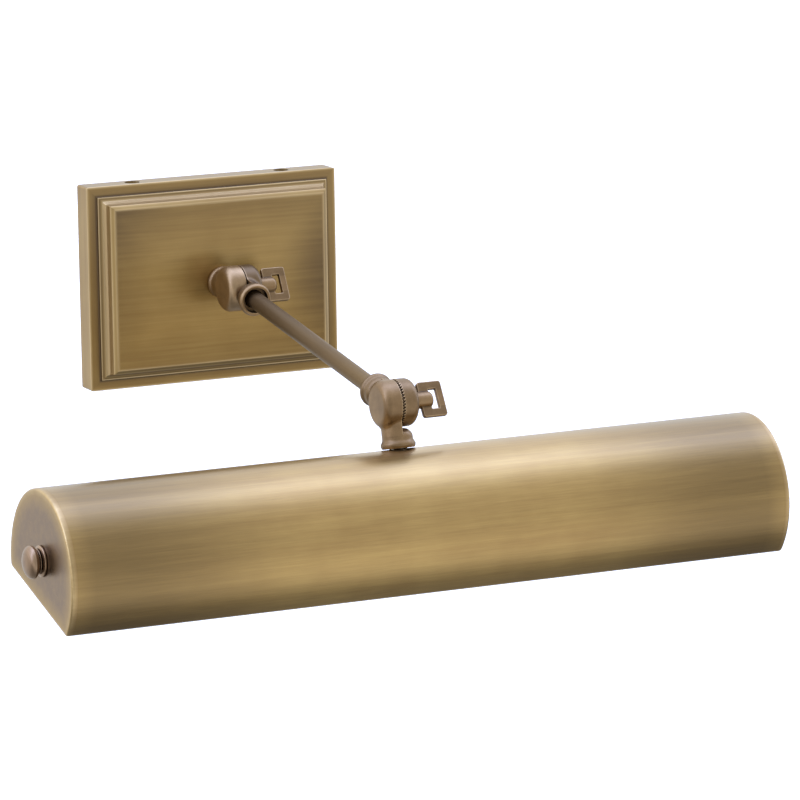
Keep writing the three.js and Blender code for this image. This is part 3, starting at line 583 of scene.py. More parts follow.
BRIGHT = (0.45, 0.305, 0.105)
DULL = (0.34, 0.215, 0.07)
RECESS = (0.1, 0.063, 0.03)
EDGE = (0.62, 0.47, 0.26)
BRASS = (BRIGHT, DULL, RECESS)
SPREAD = (0.34, 0.66)
# The shell's darker colour is painted shade at the shade's ends.
brass_sheet = "antique_brass", metal(
    "antique_brass_brushed", *BRASS, EDGE, 0.32, lines=0.6, anisotropic=0.3, spread=SPREAD,
    patina_and_shade_colour=(0.19, 0.12, 0.036))
brass_plate = "antique_brass", metal(
    "antique_brass_plate", *BRASS, EDGE, 0.38, lines=0.7, anisotropic=0.3, coat=0.5, spread=SPREAD,
    streak=0.4, patina_and_shade_colour=(0.145, 0.092, 0.038))
brass_cap = "antique_brass", metal(
    "antique_brass_cap", *BRASS, (0.56, 0.42, 0.22), 0.35, coat=0.45, spread=(0.1, 0.9),
    patina_and_shade_colour=(0.205, 0.132, 0.076))
# The tube's darkest colour is painted shade near the wall swivel.
brass_tube = "antique_brass", metal(
    "antique_brass_tube", (0.2, 0.13, 0.056), (0.165, 0.106, 0.046), RECESS, EDGE, 0.48, lines=0.4,
    coat=0.12, patina_and_shade_colour=(0.105, 0.067, 0.034))
swivel = "swivel_brass", metal(
    "swivel_brass_cast", (0.32, 0.21, 0.108), (0.22, 0.14, 0.07), (0.045, 0.028, 0.015),
    (0.46, 0.33, 0.2), 0.4, lines=0.5, bump=0.12, fine=1.1, streak=0.12, patch=0.05, coat=0.25,
    patina_and_shade_colour=(0.125, 0.08, 0.04))
bronze = "dark_bronze", metal(
    "dark_bronze", (0.3, 0.195, 0.12), (0.21, 0.138, 0.085), (0.13, 0.083, 0.05), (0.4, 0.28, 0.18),
    0.33, coat=0.5)
zinc = "zinc_steel", metal(
    "zinc_steel", (0.56, 0.56, 0.55), (0.42, 0.42, 0.42), (0.14, 0.14, 0.14), (0.7, 0.7, 0.7), 0.42,
    lines=0.8, patch=0.08)
nickel = "nickel", metal(
    "nickel_plate", (0.62, 0.58, 0.5), (0.5, 0.46, 0.38), (0.12, 0.11, 0.09), (0.75, 0.72, 0.66), 0.27)


def plastic(name, light, dark, roughness, coat=0.0):
    g = material_graph(name)
    place = g.value("place", "Vector")
    speckle = g.noise(place, 2.5, 4, 0.6)
    clouds = g.noise(place, 0.12, 3, 0.5)
    base = g.mix(g.span(clouds, 0.35, 0.65), colour(*light), colour(*dark))
    rough = g.span(speckle, 0.3, 0.7, roughness - 0.06, roughness + 0.08)
    normal = g.bump(speckle, 0.2, 0.00008)
    return g.finish(Base_Color=base, Roughness=rough, Normal=normal, Coat_Weight=coat)


phenolic = "phenolic", plastic("phenolic", (0.022, 0.019, 0.017), (0.012, 0.01, 0.009), 0.42, coat=0.25)
insulation = "wire_brown", plastic("lead_insulation", (0.035, 0.027, 0.02), (0.02, 0.015, 0.012), 0.48)
earth = "earth_green", plastic("earth_insulation", (0.03, 0.17, 0.05), (0.02, 0.12, 0.035), 0.45)
earth_paint = "earth_green", metal(
    "earth_screw_paint", (0.05, 0.24, 0.08), (0.035, 0.17, 0.06), (0.01, 0.05, 0.02), (0.3, 0.5, 0.3), 0.4)


def glass_frosted():
    g = material_graph("frosted_glass")
    place = g.value("place", "Vector")
    frost = g.noise(place, 3.0, 3, 0.6)
    base = g.mix(g.span(frost, 0.3, 0.7), colour(0.88, 0.87, 0.84), colour(0.8, 0.79, 0.76))
    rough = g.span(frost, 0.3, 0.7, 0.3, 0.42)
    normal = g.bump(frost, 0.2, 0.00006)
    return g.finish(Base_Color=base, Roughness=rough, Normal=normal, Coat_Weight=0.3)


frosted = "frosted_glass", glass_frosted()

# -------- wall plate


def rectangle(inset, steps=6, along=20):
    """The plate's outline drawn in on every side, counter-clockwise."""
    radius = max(PLATE_CORNER - inset, 0.35)
    half = (PLATE_WIDTH / 2 - inset - radius, PLATE_HEIGHT / 2 - inset - radius)
    corners = [(1, 1), (-1, 1), (-1, -1), (1, -1)]
    rounds = [arc((sx * half[0], sy * half[1]), radius, k * math.pi / 2, (k + 1) * math.pi / 2, steps)
              for k, (sx, sy) in enumerate(corners)]
    shares = np.linspace(0, 1, along + 2)[1:-1, None]
    sides = [a[-1] + (b[0] - a[-1]) * shares for a, b in zip(rounds, rounds[1:] + rounds[:1])]
    return np.concatenate([part for pair in zip(rounds, sides) for part in pair])


def circle_like(outline, radius, centre=(0, 0)):
    """A circle with a point in the direction of each point of an outline."""
    way = outline[:, :2] - centre
    return centre + radius * way / norm(way, axis=1)[:, None]


PLATE_PROFILE = refined(path([
    (0, 0, 0), (0, BAND, 0.35), (5.7, BAND, 0.6), (6.0, BAND + 1.5, 0.35), (6.8, BAND + 1.7, 0.5),
    (8.3, BAND + 2.5, 1.8), (9.5, BAND + 5.2, 4), (10.1, BAND + 9.3, 0.3), (10.5, BAND + 9.6, 0.3),
    (12.1, DEPTH - 0.15, 0.5), (12.6, DEPTH, 0.3), (16.0, DEPTH, 0),
], step=0.12), 0.6)
PLATE_BACK = [(14.4, DEPTH - PANEL), (13.2, DEPTH - PANEL - 3.4), (8.2, BAND + 0.2), (6.8, BAND - 2.2),
              (PLATE_WALL, BAND - 2.6), (PLATE_WALL, 0)]


def plate_body():
    front = [raised(rectangle(inset), depth) for inset, depth in PLATE_PROFILE]
    front += [raised(rectangle(inset), DEPTH) for inset in (20, 25, 30, 35, 40, 46)]
    around = circle_like(rectangle(46), NIPPLE_HOLE / 2)
    middle = [raised(around, DEPTH), raised(around, DEPTH - PANEL)]
    back = [raised(rectangle(inset), depth) for inset, depth in [(40, DEPTH - PANEL)] + PLATE_BACK]
    holes = [moved(rod(KEEPER_HOLE / 2, 0, 12),
                   shift(side * KEEPER_SPACING / 2, PLATE_HEIGHT / 2 - 6, BAND / 2) @ turn(-90, "X"))
             for side in (-1, 1)]
    return cut(stacked(front + middle + back, closed=True), *holes)


def plate_shape():
    """The plate, rubbed bright on the cove's ridge, with patina on the band and in clouds on the panel, and
    painted shade on its top face.
    """
    shape = plate_body()
    across, up, depth = shape.points.T
    inset = np.minimum(PLATE_WIDTH / 2 - np.abs(across), PLATE_HEIGHT / 2 - np.abs(up))
    wear_and_highlight, groove = corner_marks(PLATE_PROFILE, outside=-1)
    gaps = sum((value[:, None] - PLATE_PROFILE[None, :, k]) ** 2 for k, value in enumerate((inset, depth)))
    nearest, far = gaps.argmin(1), gaps.min(1) > 0.5
    ridge, ridge_width = 9.3, 1.2
    rubbed_and_lit = 0.9 * np.exp(-(((inset - ridge) / ridge_width) ** 2)) * (depth > BAND + 1)
    shape.values["wear_and_highlight"] = np.where(far, 0, np.maximum(wear_and_highlight[nearest], rubbed_and_lit))
    shape.values["groove"] = np.where(far, 0, 0.8 * groove[nearest])
    panel_edge = np.clip(1 - (inset - 12.9) / 24, 0, 1)
    corner = (across / PLATE_WIDTH + up / PLATE_HEIGHT + 1) / 2
    clouds = 0.5 * np.exp(-((across + 66) ** 2 + (up - 46) ** 2) / 24 ** 2)
    clouds += 0.45 * np.exp(-((across - 62) / 24) ** 2 - ((up + 2) / 30) ** 2)
    panel = 0.38 * panel_edge + 0.26 * corner + clouds
    band = np.interp(inset, [0, 0.8, 3, 4.8, 6.0], [0.3, 0.42, 0.6, 0.72, 0.8])
    cove = np.interp(inset, [6.2, 7.2, 7.8, 8.8, 9.9, 10.4, 11, 12], [0.8, 0.8, 0.2, 0, 0, 0.2, 0.35, 0.3])
    patina_and_shade = np.where(inset > 12.4, panel, np.where(inset > 6.1, cove, band))
    # Painted shade: the outer top face is darkened more than the other outer faces, for how light falls on
    # it.
    on_top = up > PLATE_HEIGHT / 2 - 0.2
    shape.values["patina_and_shade"] = np.where(depth < BAND - 0.5, np.where(on_top, 0.6, 0.15), patina_and_shade)
    return shape


def along_x(points):
    """Brushing along the length."""
    return points * np.array((0.03, 1, 1))


def plate_grain(points):
    """Brushing along the plate's length, and upright on its left and right mouldings."""
    x, y, depth = points.T
    from_side = PLATE_WIDTH / 2 - np.abs(x)
    at_side = (from_side < PLATE_HEIGHT / 2 - np.abs(y)) & (from_side < 12.7)
    return np.where(at_side[:, None], np.column_stack((0.03 * y, x, depth)), along_x(points))


add("wall_plate", plate_shape(), WALL, *brass_plate, plate_grain)

# -------- strap and screws


def strap_shape():
    top = PLATE_HEIGHT / 2 - PLATE_WALL - 0.5
    inner = top - STRAP_THICKNESS
    outline = path([
        (0, -top, 1.9), (0, top, 1.9), (-STRAP_DEPTH, top, 0.3), (-STRAP_DEPTH, inner, 0.3),
        (-STRAP_THICKNESS, inner, 0.8), (-STRAP_THICKNESS, -inner, 0.8), (-STRAP_DEPTH, -inner, 0.3),
        (-STRAP_DEPTH, -top, 0.3),
    ], closed=True)
    body = drawn_out(outline, -STRAP_LENGTH / 2, STRAP_LENGTH / 2)
    reach, quarter = (SLOT_LENGTH - SLOT_WIDTH) / 2, math.pi / 2
    slot_outline = np.concatenate((
        arc((reach, 0), SLOT_WIDTH / 2, -quarter, quarter, 12),
        arc((-reach, 0), SLOT_WIDTH / 2, quarter, 3 * quarter, 12)))
    slot = stacked([raised(slot_outline, 0), raised(slot_outline, 6)])
    facing = turn(90, "X") @ shift(z=-3)
    tools = [moved(slot, facing @ shift(side * SLOT_CENTRE)) for side in (-1, 1)]
    tools.append(moved(rod(WIRE_HOLE / 2, 0, 6), facing @ shift(y=-WIRE_HOLE_DROP)))
    tools.append(moved(rod(STRAP_SCREW_HOLE / 2, 0, 6), facing @ shift(y=GROUND_SCREW_RISE)))
    through = rod(STRAP_SCREW_HOLE / 2, inner - 1, top + 1)
    tools += [moved(through, shift(side * KEEPER_SPACING / 2, -BAND / 2)) for side in (-1, 1)]
    return cut(body, *tools)


def screw_shape(head, height, shank, length):
    """A slotted screw along +Z with its head above height 0."""
    def distance(x, y, z):
        about = np.hypot(x, y)
        dome = rounded_box([about - head / 2, z - height, -z], 0.45)
        groove = 0.22 * np.cos(2 * math.pi * (z / 0.8 - np.arctan2(y, x) / (2 * math.pi)))
        body = np.maximum(about - shank / 2 + 0.22 - groove * (z < -0.3), np.maximum(z - 0.5, -z - length))
        slot = np.maximum(np.abs(y) - 0.6, height - 1.0 - z)
        return blend_max(np.minimum(dome, body), -slot, 0.15)
    edge = head / 2 + 0.5
    return surface(distance, (-edge, -edge, -length - 0.5), (edge, edge, height + 0.5), 0.16, 0.4)


add("mounting_strap", strap_shape(), PLACED, *zinc, along_x)
keeper_height = 1.5
keeper = screw_shape(KEEPER_HEAD, keeper_height, 4, 7)
keeper_base = PLATE_HEIGHT / 2 - KEEPER_SINK - keeper_height
for word, side in HANDS:
    add(f"keeper_screw_{word}", keeper, shift(side * KEEPER_SPACING / 2, -BAND / 2, keeper_base)
        @ turn(24 * side + 15, "Z"), *zinc, "cast")
add("ground_screw", screw_shape(7, 2.2, 4, 1.2),
    shift(0, -STRAP_THICKNESS - GAP, GROUND_SCREW_RISE) @ turn(90, "X"), *earth_paint, "cast")

# -------- nipples, washers and nuts


def nipple_shape(length):
    bore, outer = NIPPLE_BORE, NIPPLE_RADIUS
    outline = path([(bore, 0, 0), (outer, 0, 0.4), (outer, length, 0.4), (bore, length, 0), (bore, 0, 0)])
    return turned(refined(outline, 0.25), 64, thread=(0, length, 1.4, 0.5))


def closed_ring(corners, step=0.15):
    points = path(corners, closed=True, step=step)
    return np.concatenate((points, points[:1]))


def washer():
    low, high, top = NIPPLE_HOLE / 2, WASHER_RADIUS, WASHER_THICKNESS
    return turned(closed_ring([(low, 0, 0.15), (high, 0, 0.3), (high, top, 0.3), (low, top, 0.15)]), 72)


def nut():
    """A hexagon nut about +Z, chamfered at both faces."""
    middle = NUT_THICKNESS / 2

    def distance(x, y, z):
        about, off_middle = np.hypot(x, y), np.abs(z - middle)
        sides = np.maximum.reduce([
            np.abs(x * math.cos(a) + y * math.sin(a)) for a in (0, math.pi / 3, 2 * math.pi / 3)])
        body = blend_max(sides - NUT_FLATS / 2, off_middle - middle, 0.2)
        body = np.maximum(body, 0.55 * (about - 7.35) + 0.83 * (off_middle - 1.4))
        return blend_max(body, NIPPLE_HOLE / 2 - about, 0.25)
    return surface(distance, (-9, -9, -0.5), (9, 9, 4.5), 0.28, 0.6)


rear_y = HINGE["arm_tilt"][1]
panel_back = PANEL - DEPTH
into_wall = turn(-90, "X")
nipple_head = rear_y + NIPPLE_START
web_inside = BRACKET_TOP - BRACKET_SHEET
the_nut, the_washer = nut(), washer()
nipple_tail = -15.4
add("plate_nipple", nipple_shape(nipple_tail - nipple_head), shift(y=nipple_head) @ into_wall, *nickel)
add("plate_washer", the_washer, shift(y=panel_back + GAP) @ into_wall, *zinc)
add("plate_nut", the_nut, shift(y=panel_back + WASHER_THICKNESS + 2 * GAP) @ into_wall, *nickel, "cast")
add("shade_nipple", nipple_shape(ARC_CENTRE - NIPPLE_START - NIPPLE_FOOT), STEM @ shift(z=NIPPLE_FOOT),
    *nickel)
add("shade_washer", the_washer, STEM @ shift(z=web_inside - GAP - WASHER_THICKNESS), *zinc)
add("shade_nut", the_nut, STEM @ shift(z=web_inside - 2 * GAP - WASHER_THICKNESS - NUT_THICKNESS),
    *nickel, "cast")

# -------- swivels

FACE = GAP / 2
TEETH, TOOTH_HALF, TOOTH_START = 48, 0.46, 11.6


def knuckle_shape(for_arm, tooth_depth, low_patina_and_shade=0.0, on_bead=0.0, rubbed_and_lit=0.0):
    """Half a swivel: a disc right of the mating plane, and a neck along +Z that clears the other disc."""
    bore = TUBE_RADIUS + GAP if for_arm else NIPPLE_HOLE / 2
    screw_end = KNUCKLE_HALF + 1 if for_arm else KNUCKLE_HALF - SCREW_COVER

    def outside(about, across, x, z):
        disc = rounded_box([about - KNUCKLE_RADIUS, x - KNUCKLE_HALF], 4.1)
        disc = blend_max(disc, FACE - x, 0.25)
        lower = np.sqrt((across / NECK_RADIUS) ** 2 + ((z - NECK_SHOULDER) / NECK_ROUND) ** 2) - 1
        straight = across - NECK_RADIUS
        neck = np.where(z < NECK_SHOULDER, lower * NECK_ROUND, straight)
        stem = np.maximum(straight, np.maximum(FACE - x, np.maximum(-z, z - NECK_SHOULDER - 0.5)))
        bead = rounded_box([across - BEAD_RADIUS, np.abs(z - BEAD_CENTRE) - BEAD_HALF], 1.2)
        foot = np.maximum(across - 8.3, 22 - z)
        neck = blend_min(np.minimum(neck, foot), bead, 2.0)
        body = blend_min(disc, np.minimum(neck, stem), 1.6)
        body = blend_max(body, z - NECK_LENGTH, 0.25)
        return blend_max(body, np.minimum(KNUCKLE_RADIUS + 1 - about, FACE - x), 0.5)

    def distance(x, y, z):
        about, across = np.hypot(y, z), np.hypot(x, y)
        body = outside(about, across, x, z)
        passage = np.minimum(PASSAGE_WIDTH / 2 - np.hypot(x - LEAD_OFFSET, y), np.minimum(z - 3, 15 - z))
        for hollow in (np.minimum(bore - across, z - NECK_BORE_START),
                       np.minimum(CHAMBER_RADIUS - about, CHAMBER_FLOOR - x), passage,
                       np.minimum(SCREW_SHANK / 2 + GAP - about, screw_end - x)):
            body = np.maximum(body, hollow)
        if for_arm:
            body = blend_max(body, np.minimum(CUP_RADIUS - across, z - (NECK_LENGTH - CUP_DEPTH)), 0.3)
        angle = np.arctan2(z, y) * TEETH / (2 * math.pi)
        sideways = (angle - np.round(angle)) * 2 * math.pi / TEETH * about
        tooth = np.minimum(TOOTH_HALF - np.abs(sideways + 0.5 * (x - 0.4)),
                           np.minimum(tooth_depth - x, about - TOOTH_START))
        return blend_max(body, np.minimum(tooth, 13.0 - about), 0.12)

    shape = surface(distance, (-9.6, -13.4, -13.4), (10.8, 13.4, 24.4), 0.25)
    x, y, z = shape.points.T
    # Darker below the bead and on the bead by the given amounts.
    shape.values["patina_and_shade"] = on_bead + (low_patina_and_shade - on_bead) * np.clip((21 - z) / 4, 0, 1)
    shape.values["wear_and_highlight"] = np.maximum(shape.values["wear_and_highlight"], rubbed_and_lit)
    if for_arm:
        # Painted shade inside the tube's cup, which is darkened and kept free of bright edges.
        in_cup = (np.hypot(x, y) < 7.3) & (z > NECK_LENGTH - 3.6) & (z < NECK_LENGTH - 0.3)
        shape.values["groove"] = np.maximum(shape.values["groove"], 0.55 * in_cup)
        shape.values["wear_and_highlight"] = np.where(in_cup, 0, shape.values["wear_and_highlight"])
    return shape


def thumbscrew_shape():
    """A screw along +X with a square loop handle, upright in the XZ plane."""
    hub_start = KNUCKLE_HALF + GAP

    def distance(x, y, z):
        about = np.hypot(y, z)
        shank = np.maximum(about - SCREW_SHANK / 2, np.maximum(2 - KNUCKLE_HALF - x, x - 12))
        hub = rounded_box([about - HUB_RADIUS, x - HUB_END, hub_start - x], 2.2)
        hub = np.maximum(hub, hub_start - x)
        beyond = [np.maximum(np.abs(value) - half + LOOP_CORNER, 0)
                  for value, half in zip((x - LOOP_CENTRE, z), LOOP_HALF)]
        outer = rounded_box([np.hypot(*beyond) - LOOP_CORNER, np.abs(y) - LOOP_THICKNESS / 2], 0.5)
        hole = rounded_box([np.abs(x - LOOP_CENTRE - 1) - 2.25, np.abs(y) - 4, np.abs(z) - 5.5], 0.35)
        return blend_min(np.minimum(hub, shank), blend_max(outer, -hole, 0.4), 0.5)
    shape = surface(distance, (-8.8, -4.4, -10.4), (29.4, 4.4, 10.4), 0.24, 0.5)
    shape.values["patina_and_shade"] = 0.6 * (np.hypot(shape.points[:, 1], shape.points[:, 2]) > 4.6)
    return shape


# plate_knuckle is painted lighter all over and arm_knuckle_rear painted darker below its bead: painted light
# and painted shade for how light falls on the two halves of the wall swivel.
for node, settings, matrix in (
        ("plate_knuckle", (False, 0.2, 0.0, 0.0, 0.5), PLATE_NECK @ turn(180, "Z")),
        ("shade_knuckle", (False, 0.6, 0.2, 0.45), NECK @ turn(180, "Y")),
        ("arm_knuckle_rear", (True, 0.25, 0.9), ARM),
        ("arm_knuckle_front", (True, 1.1, 0.5, 0.6), ARM @ shift(z=ARM_LENGTH) @ turn(180, "X"))):
    add(node, knuckle_shape(*settings), matrix, *swivel, "cast", 50)
wing = thumbscrew_shape()
add("arm_thumbscrew", wing, REAR @ turn(-ARM_SCREW_TURN, "X"), *swivel, "cast", 50)
add("shade_thumbscrew", wing, FRONT @ turn(-SHADE_SCREW_TURN, "X"), *swivel, "cast", 50)

# -------- arm tube


def tube_shape():
    """The arm's tube along +Z, with painted shade that is darkest at the wall end and fades towards the
    shade.
    """
    low, high = NECK_BORE_START + GAP, ARM_LENGTH - NECK_BORE_START - GAP
    outline = closed_ring([(TUBE_BORE, low, 0.2), (TUBE_RADIUS, low, 0.3), (TUBE_RADIUS, high, 0.3),
                           (TUBE_BORE, high, 0.2)])
    shape = turned(refined(outline, 12), 72)
    # Painted shade from the wall swivel, fading over 150 mm.
    shape.values["patina_and_shade"] = np.clip(1 - (shape.points[:, 2] - 20) / 150, 0, 1)
    return shape


def along_z(points):
    """Brushing along the height."""
    return points[:, [2, 0, 1]] * np.array((0.03, 1, 1))


add("arm_tube", tube_shape(), ARM, *brass_tube, along_z)

# -------- shade

CORNER_ACROSS = math.sqrt((SHADE_RADIUS - SHADE_CORNER) ** 2 - (SHADE_CORNER - SHADE_DROP) ** 2)


def shade_outline(inset):
    """The section of the shade as (y, z) points, from one edge of the opening over the top to the other."""
    y, z = CORNER_ACROSS, SHADE_CORNER - SHADE_DROP
    radius = max(SHADE_CORNER - inset, 0.4)
    way = math.atan2(z, y)
    return np.concatenate((
        arc((y, z), radius, -math.pi / 2, way, 8),
        arc((0, 0), SHADE_RADIUS - inset, way, math.pi - way, 110)[1:-1],
        arc((-y, z), radius, math.pi - way, 1.5 * math.pi, 8)))


def painted_end_shade(x):
    """Painted shade towards both ends of the shade, for light that falls off there, eased within 14 mm of
    each end.
    """
    share = np.clip((np.abs(x) - 60) / 120, 0, 1)
    rubbed_and_lit = np.clip((SHADE_LENGTH / 2 - np.abs(x)) / 14, 0, 1)
    return share ** 2 * (3 - 2 * share) * (0.45 + 0.55 * rubbed_and_lit)


def shell_shape():
    """The trough of sheet brass, hemmed along the opening, with painted light round the swivel's foot and
    painted shade towards its ends.
    """
    edge = CORNER_ACROSS - SHADE_LIP

    def skin(inset):
        lip = inset - SHADE_DROP
        return np.concatenate(([(edge, lip)], shade_outline(inset), [(-edge, lip)]))
    band = np.concatenate((skin(0), skin(SHADE_SHEET)[::-1]))
    half = SHADE_LENGTH / 2 - CAP_LIP - 0.02
    foot = NECK_LEAN - SHADE_LEAN
    hole = moved(rod(NIPPLE_HOLE / 2, 20, SHADE_RADIUS + 5), turn(foot, "X"))
    shape = cut(drawn_out(band, -half, half, 80), hole)
    x, y, z = shape.points.T
    shape.values["patina_and_shade"] = painted_end_shade(x)
    # Painted light round the swivel's foot, lifting the foot's dark reflection in the shade's top.
    from_foot = np.hypot(x, SHADE_RADIUS * (np.arctan2(y, z) + rad(foot)))
    shape.values["wear_and_highlight"] = 0.75 * np.exp(-(from_foot / 20) ** 2)
    return shape


def cap_shape(with_switch):
    """An end cap as a shallow pan about +Z with its mouth at height 0, rubbed along its rim with a painted
    highlight there.
    """
    inside_rim, inside_face = CAP_RIM - SHADE_SHEET, CAP_LIP - SHADE_SHEET
    outside = path([(0, 0, 0), (0, CAP_LIP, CAP_RIM), (6, CAP_LIP, 0)], step=0.2)[:-1]
    inside = path([(SHADE_SHEET, 0, 0), (SHADE_SHEET, inside_face, inside_rim), (6, inside_face, 0)])[:-1]
    outer, inner = (
        [raised(shade_outline(inset), height) for inset, height in side] for side in (outside, inside))
    focus = np.array((0, 6.0))
    for rings in (outer, inner):
        rim_ring = rings[-1]
        for share in (0.94, 0.88, 0.82, 0.74, 0.62, 0.48, 0.3, 0.15):
            rings.append(np.column_stack((focus + (rim_ring[:, :2] - focus) * share, rim_ring[:, 2])))
    hub = circle_like(outer[-1], 3, focus)
    hubs = [raised(hub, CAP_LIP), raised(hub, inside_face)]
    shape = stacked(outer + hubs + inner[::-1], closed=True)
    if with_switch:
        shape = cut(shape, moved(rod(5, -1, CAP_LIP + 1), shift(y=SWITCH_RISE)))
    else:
        shape = combined("UNION", shape, moved(rod(3.2, inside_face, CAP_LIP, 110), shift(y=focus[1])))
    x, y, z = shape.points.T
    rim = np.minimum(SHADE_RADIUS - np.hypot(x, y), y + SHADE_DROP)
    rise, reach = z - CAP_LIP + CAP_RIM, CAP_RIM - rim
    turned_in = np.degrees(np.arctan2(rise, reach))
    on_rim = (z > CAP_LIP - CAP_RIM) & (rim < CAP_RIM) & (np.hypot(rise, reach) > CAP_RIM - 0.3)
    # The rounded rim is rubbed and carries a painted highlight band halfway round its rounding.
    shape.values["wear_and_highlight"] = np.where(on_rim, 0.85 * np.exp(-(((turned_in - 45) / 32) ** 2)), 0)
    face = np.clip((rim - 1.5) / 9, 0, 1) * (z > CAP_LIP - 0.9)
    # The side band's darkening is painted shade that carries on the shell's painted end shade.
    shape.values["patina_and_shade"] = face + 0.45 * np.clip(1 - rim / 0.6, 0, 1)
    return shape


add("shade_shell", shell_shape(), SHADE, *brass_sheet, along_x)
for word, side in HANDS:
    facing = Matrix(((0, 0, side), (side, 0, 0), (0, 1, 0))).to_4x4()
    mouth = SHADE_LENGTH / 2 - CAP_LIP
    add(f"end_cap_{word}", cap_shape(side < 0), SHADE @ shift(side * mouth) @ facing,
        *brass_cap, lambda p, s=side, m=mouth: np.column_stack(
            (0.03 * s * (p[:, 2] + m), s * p[:, 0], p[:, 1])))

# -------- inside the shade


def bracket_shape():
    outer, inner, foot = BRACKET_HALF, BRACKET_HALF - BRACKET_SHEET, BRACKET_FOOT
    outline = path([
        (-outer, foot, 0.3), (-inner, foot, 0.3), (-inner, web_inside, 0.9), (inner, web_inside, 0.9),
        (inner, foot, 0.3), (outer, foot, 0.3), (outer, BRACKET_TOP, 2.2), (-outer, BRACKET_TOP, 2.2),
    ], closed=True)
    body = moved(drawn_out(outline, -BRACKET_WIDTH / 2, BRACKET_WIDTH / 2), turn(90, "Z"))
    body = moved(body, turn(180, "Z"))
    return cut(body, rod(NIPPLE_HOLE / 2, BRACKET_TOP - 5, BRACKET_TOP + 5),
               moved(rod(2.4, -20, 20), shift(z=BRACKET_TOP - 16) @ turn(90, "Y")))


add("socket_bracket", bracket_shape(), STEM, *zinc, along_x)

SOCKET = path([
    (0, 0, 0), (12.6, 0, 1.2), (15.9, 3.6, 1.5), (15.9, 8.2, 0.4), (17, 9.2, 0.5), (17, 13, 0.4),
    (16.3, 13.4, 0.2), (16.3, 14.6, 0.2), (17, 15, 0.4), (17, 36.4, 0.4), (16.4, 37, 0.3), (16.4, 38, 0.3),
    (16.9, 38.4, 0.3), (16.9, 40, 0.6), (13.8, 40, 0.5), (13.8, SOCKET_BACK, 0.6), (0, SOCKET_BACK, 0),
], step=0.4)
BULB_CAP = refined(path([
    (0, 0, 0), (4.6, 0, 0.8), (5.2, 0.9, 0.4), (9.6, 2.2, 0.8), (BULB_CAP_RADIUS, 6, 1.2),
    (BULB_CAP_RADIUS, 25, 0.4), (12.6, 25, 0), (12.6, 6.4, 0.4), (9.2, 3.6, 0.4), (0, 3.6, 0),
], step=0.4), 0.35)


def glass_shape(length):
    """A tubular bulb's glass about +Z, open at the neck."""
    neck = BULB_CAP_RADIUS - BULB_CAP_SHEET - GAP

    def skin(inset):
        radius = BULB_RADIUS - inset
        return path([(neck - inset, 0, 0), (neck - inset, 16, 8), (radius, 25, 12),
                     (radius, length - inset, 10 - inset), (0, length - inset, 0)], step=0.8)
    outer, inner = skin(0), skin(BULB_GLASS)
    return turned(np.concatenate((outer, inner[::-1], outer[:1])), 72)


socket_start = BRACKET_HALF + GAP
cap_start = socket_start + SOCKET_BACK + GAP
glass_start = cap_start + GLASS_START
for word, side in HANDS:
    lamp = SHADE @ shift(z=LAMP_RISE) @ turn(90 * side, "Y")
    add(f"socket_{word}", turned(SOCKET), lamp @ shift(z=socket_start), *phenolic)
    add(f"bulb_cap_{word}", turned(BULB_CAP, thread=(6.5, 24, 3.6, 0.9)), lamp @ shift(z=cap_start), *nickel)
    add(f"bulb_glass_{word}", glass_shape(BULB_END - glass_start), lamp @ shift(z=glass_start), *frosted)

# -------- switch

END = SHADE @ shift(z=SWITCH_RISE) @ turn(-90, "Y")
CAP_FACE = SHADE_LENGTH / 2
BUSH_END = SWITCH_LENGTH + SHADE_SHEET + RING_NUT_THICKNESS + 3 * GAP
SWITCH = path([
    (0, 0, 0), (10.4, 0, 0.6), (SWITCH_RADIUS, 1, 0.4), (SWITCH_RADIUS, 14, 0.3), (10.6, 14.4, 0.2),
    (10.6, 15, 0.2), (SWITCH_RADIUS, 15.4, 0.3), (SWITCH_RADIUS, SWITCH_LENGTH, 0.8),
    (BUSH_RADIUS, SWITCH_LENGTH, 0.2), (BUSH_RADIUS, BUSH_END, 0.4), (0, BUSH_END, 0),
])
KNOB_BASE = RING_NUT_THICKNESS + 3 * GAP
KNOB = path([
    (0, KNOB_BASE, 0), (6.6, KNOB_BASE, 0.2), (6.9, KNOB_BASE + 0.3, 0.25), (6.6, KNOB_BASE + 0.6, 0.2),
    (5.9, 3.2, 0.3), (6.1, 3.6, 0.3), (7.4, 3.8, 0.3), (8.4, 4.6, 0.6), (KNOB_RADIUS, KNOB_SHOULDER, 0),
], step=0.15)
DOME = [(KNOB_RADIUS * math.cos(a), KNOB_SHOULDER + DOME_HEIGHT * math.sin(a))
        for a in np.linspace(0, math.pi / 2, 30)[1:]]
RING_NUT = closed_ring([
    (5, 0, 0.15), (RING_NUT_RADIUS, 0, 0.2), (RING_NUT_RADIUS, 0.8, 0.3), (7, RING_NUT_THICKNESS, 0.35),
    (5, RING_NUT_THICKNESS, 0.15)])
add("switch_body", turned(SWITCH), END @ shift(z=CAP_FACE - SHADE_SHEET - GAP - SWITCH_LENGTH), *phenolic)
add("switch_ring_nut", turned(RING_NUT), END @ shift(z=CAP_FACE + GAP), *bronze)
add("switch_knob", turned(np.concatenate((KNOB, DOME)), 120), END @ shift(z=CAP_FACE), *bronze)

# -------- leads


def add_lead(node, corners, matrix, diameter=LEAD, skin=insulation):
    add(node, lead(corners, diameter), matrix, *skin)


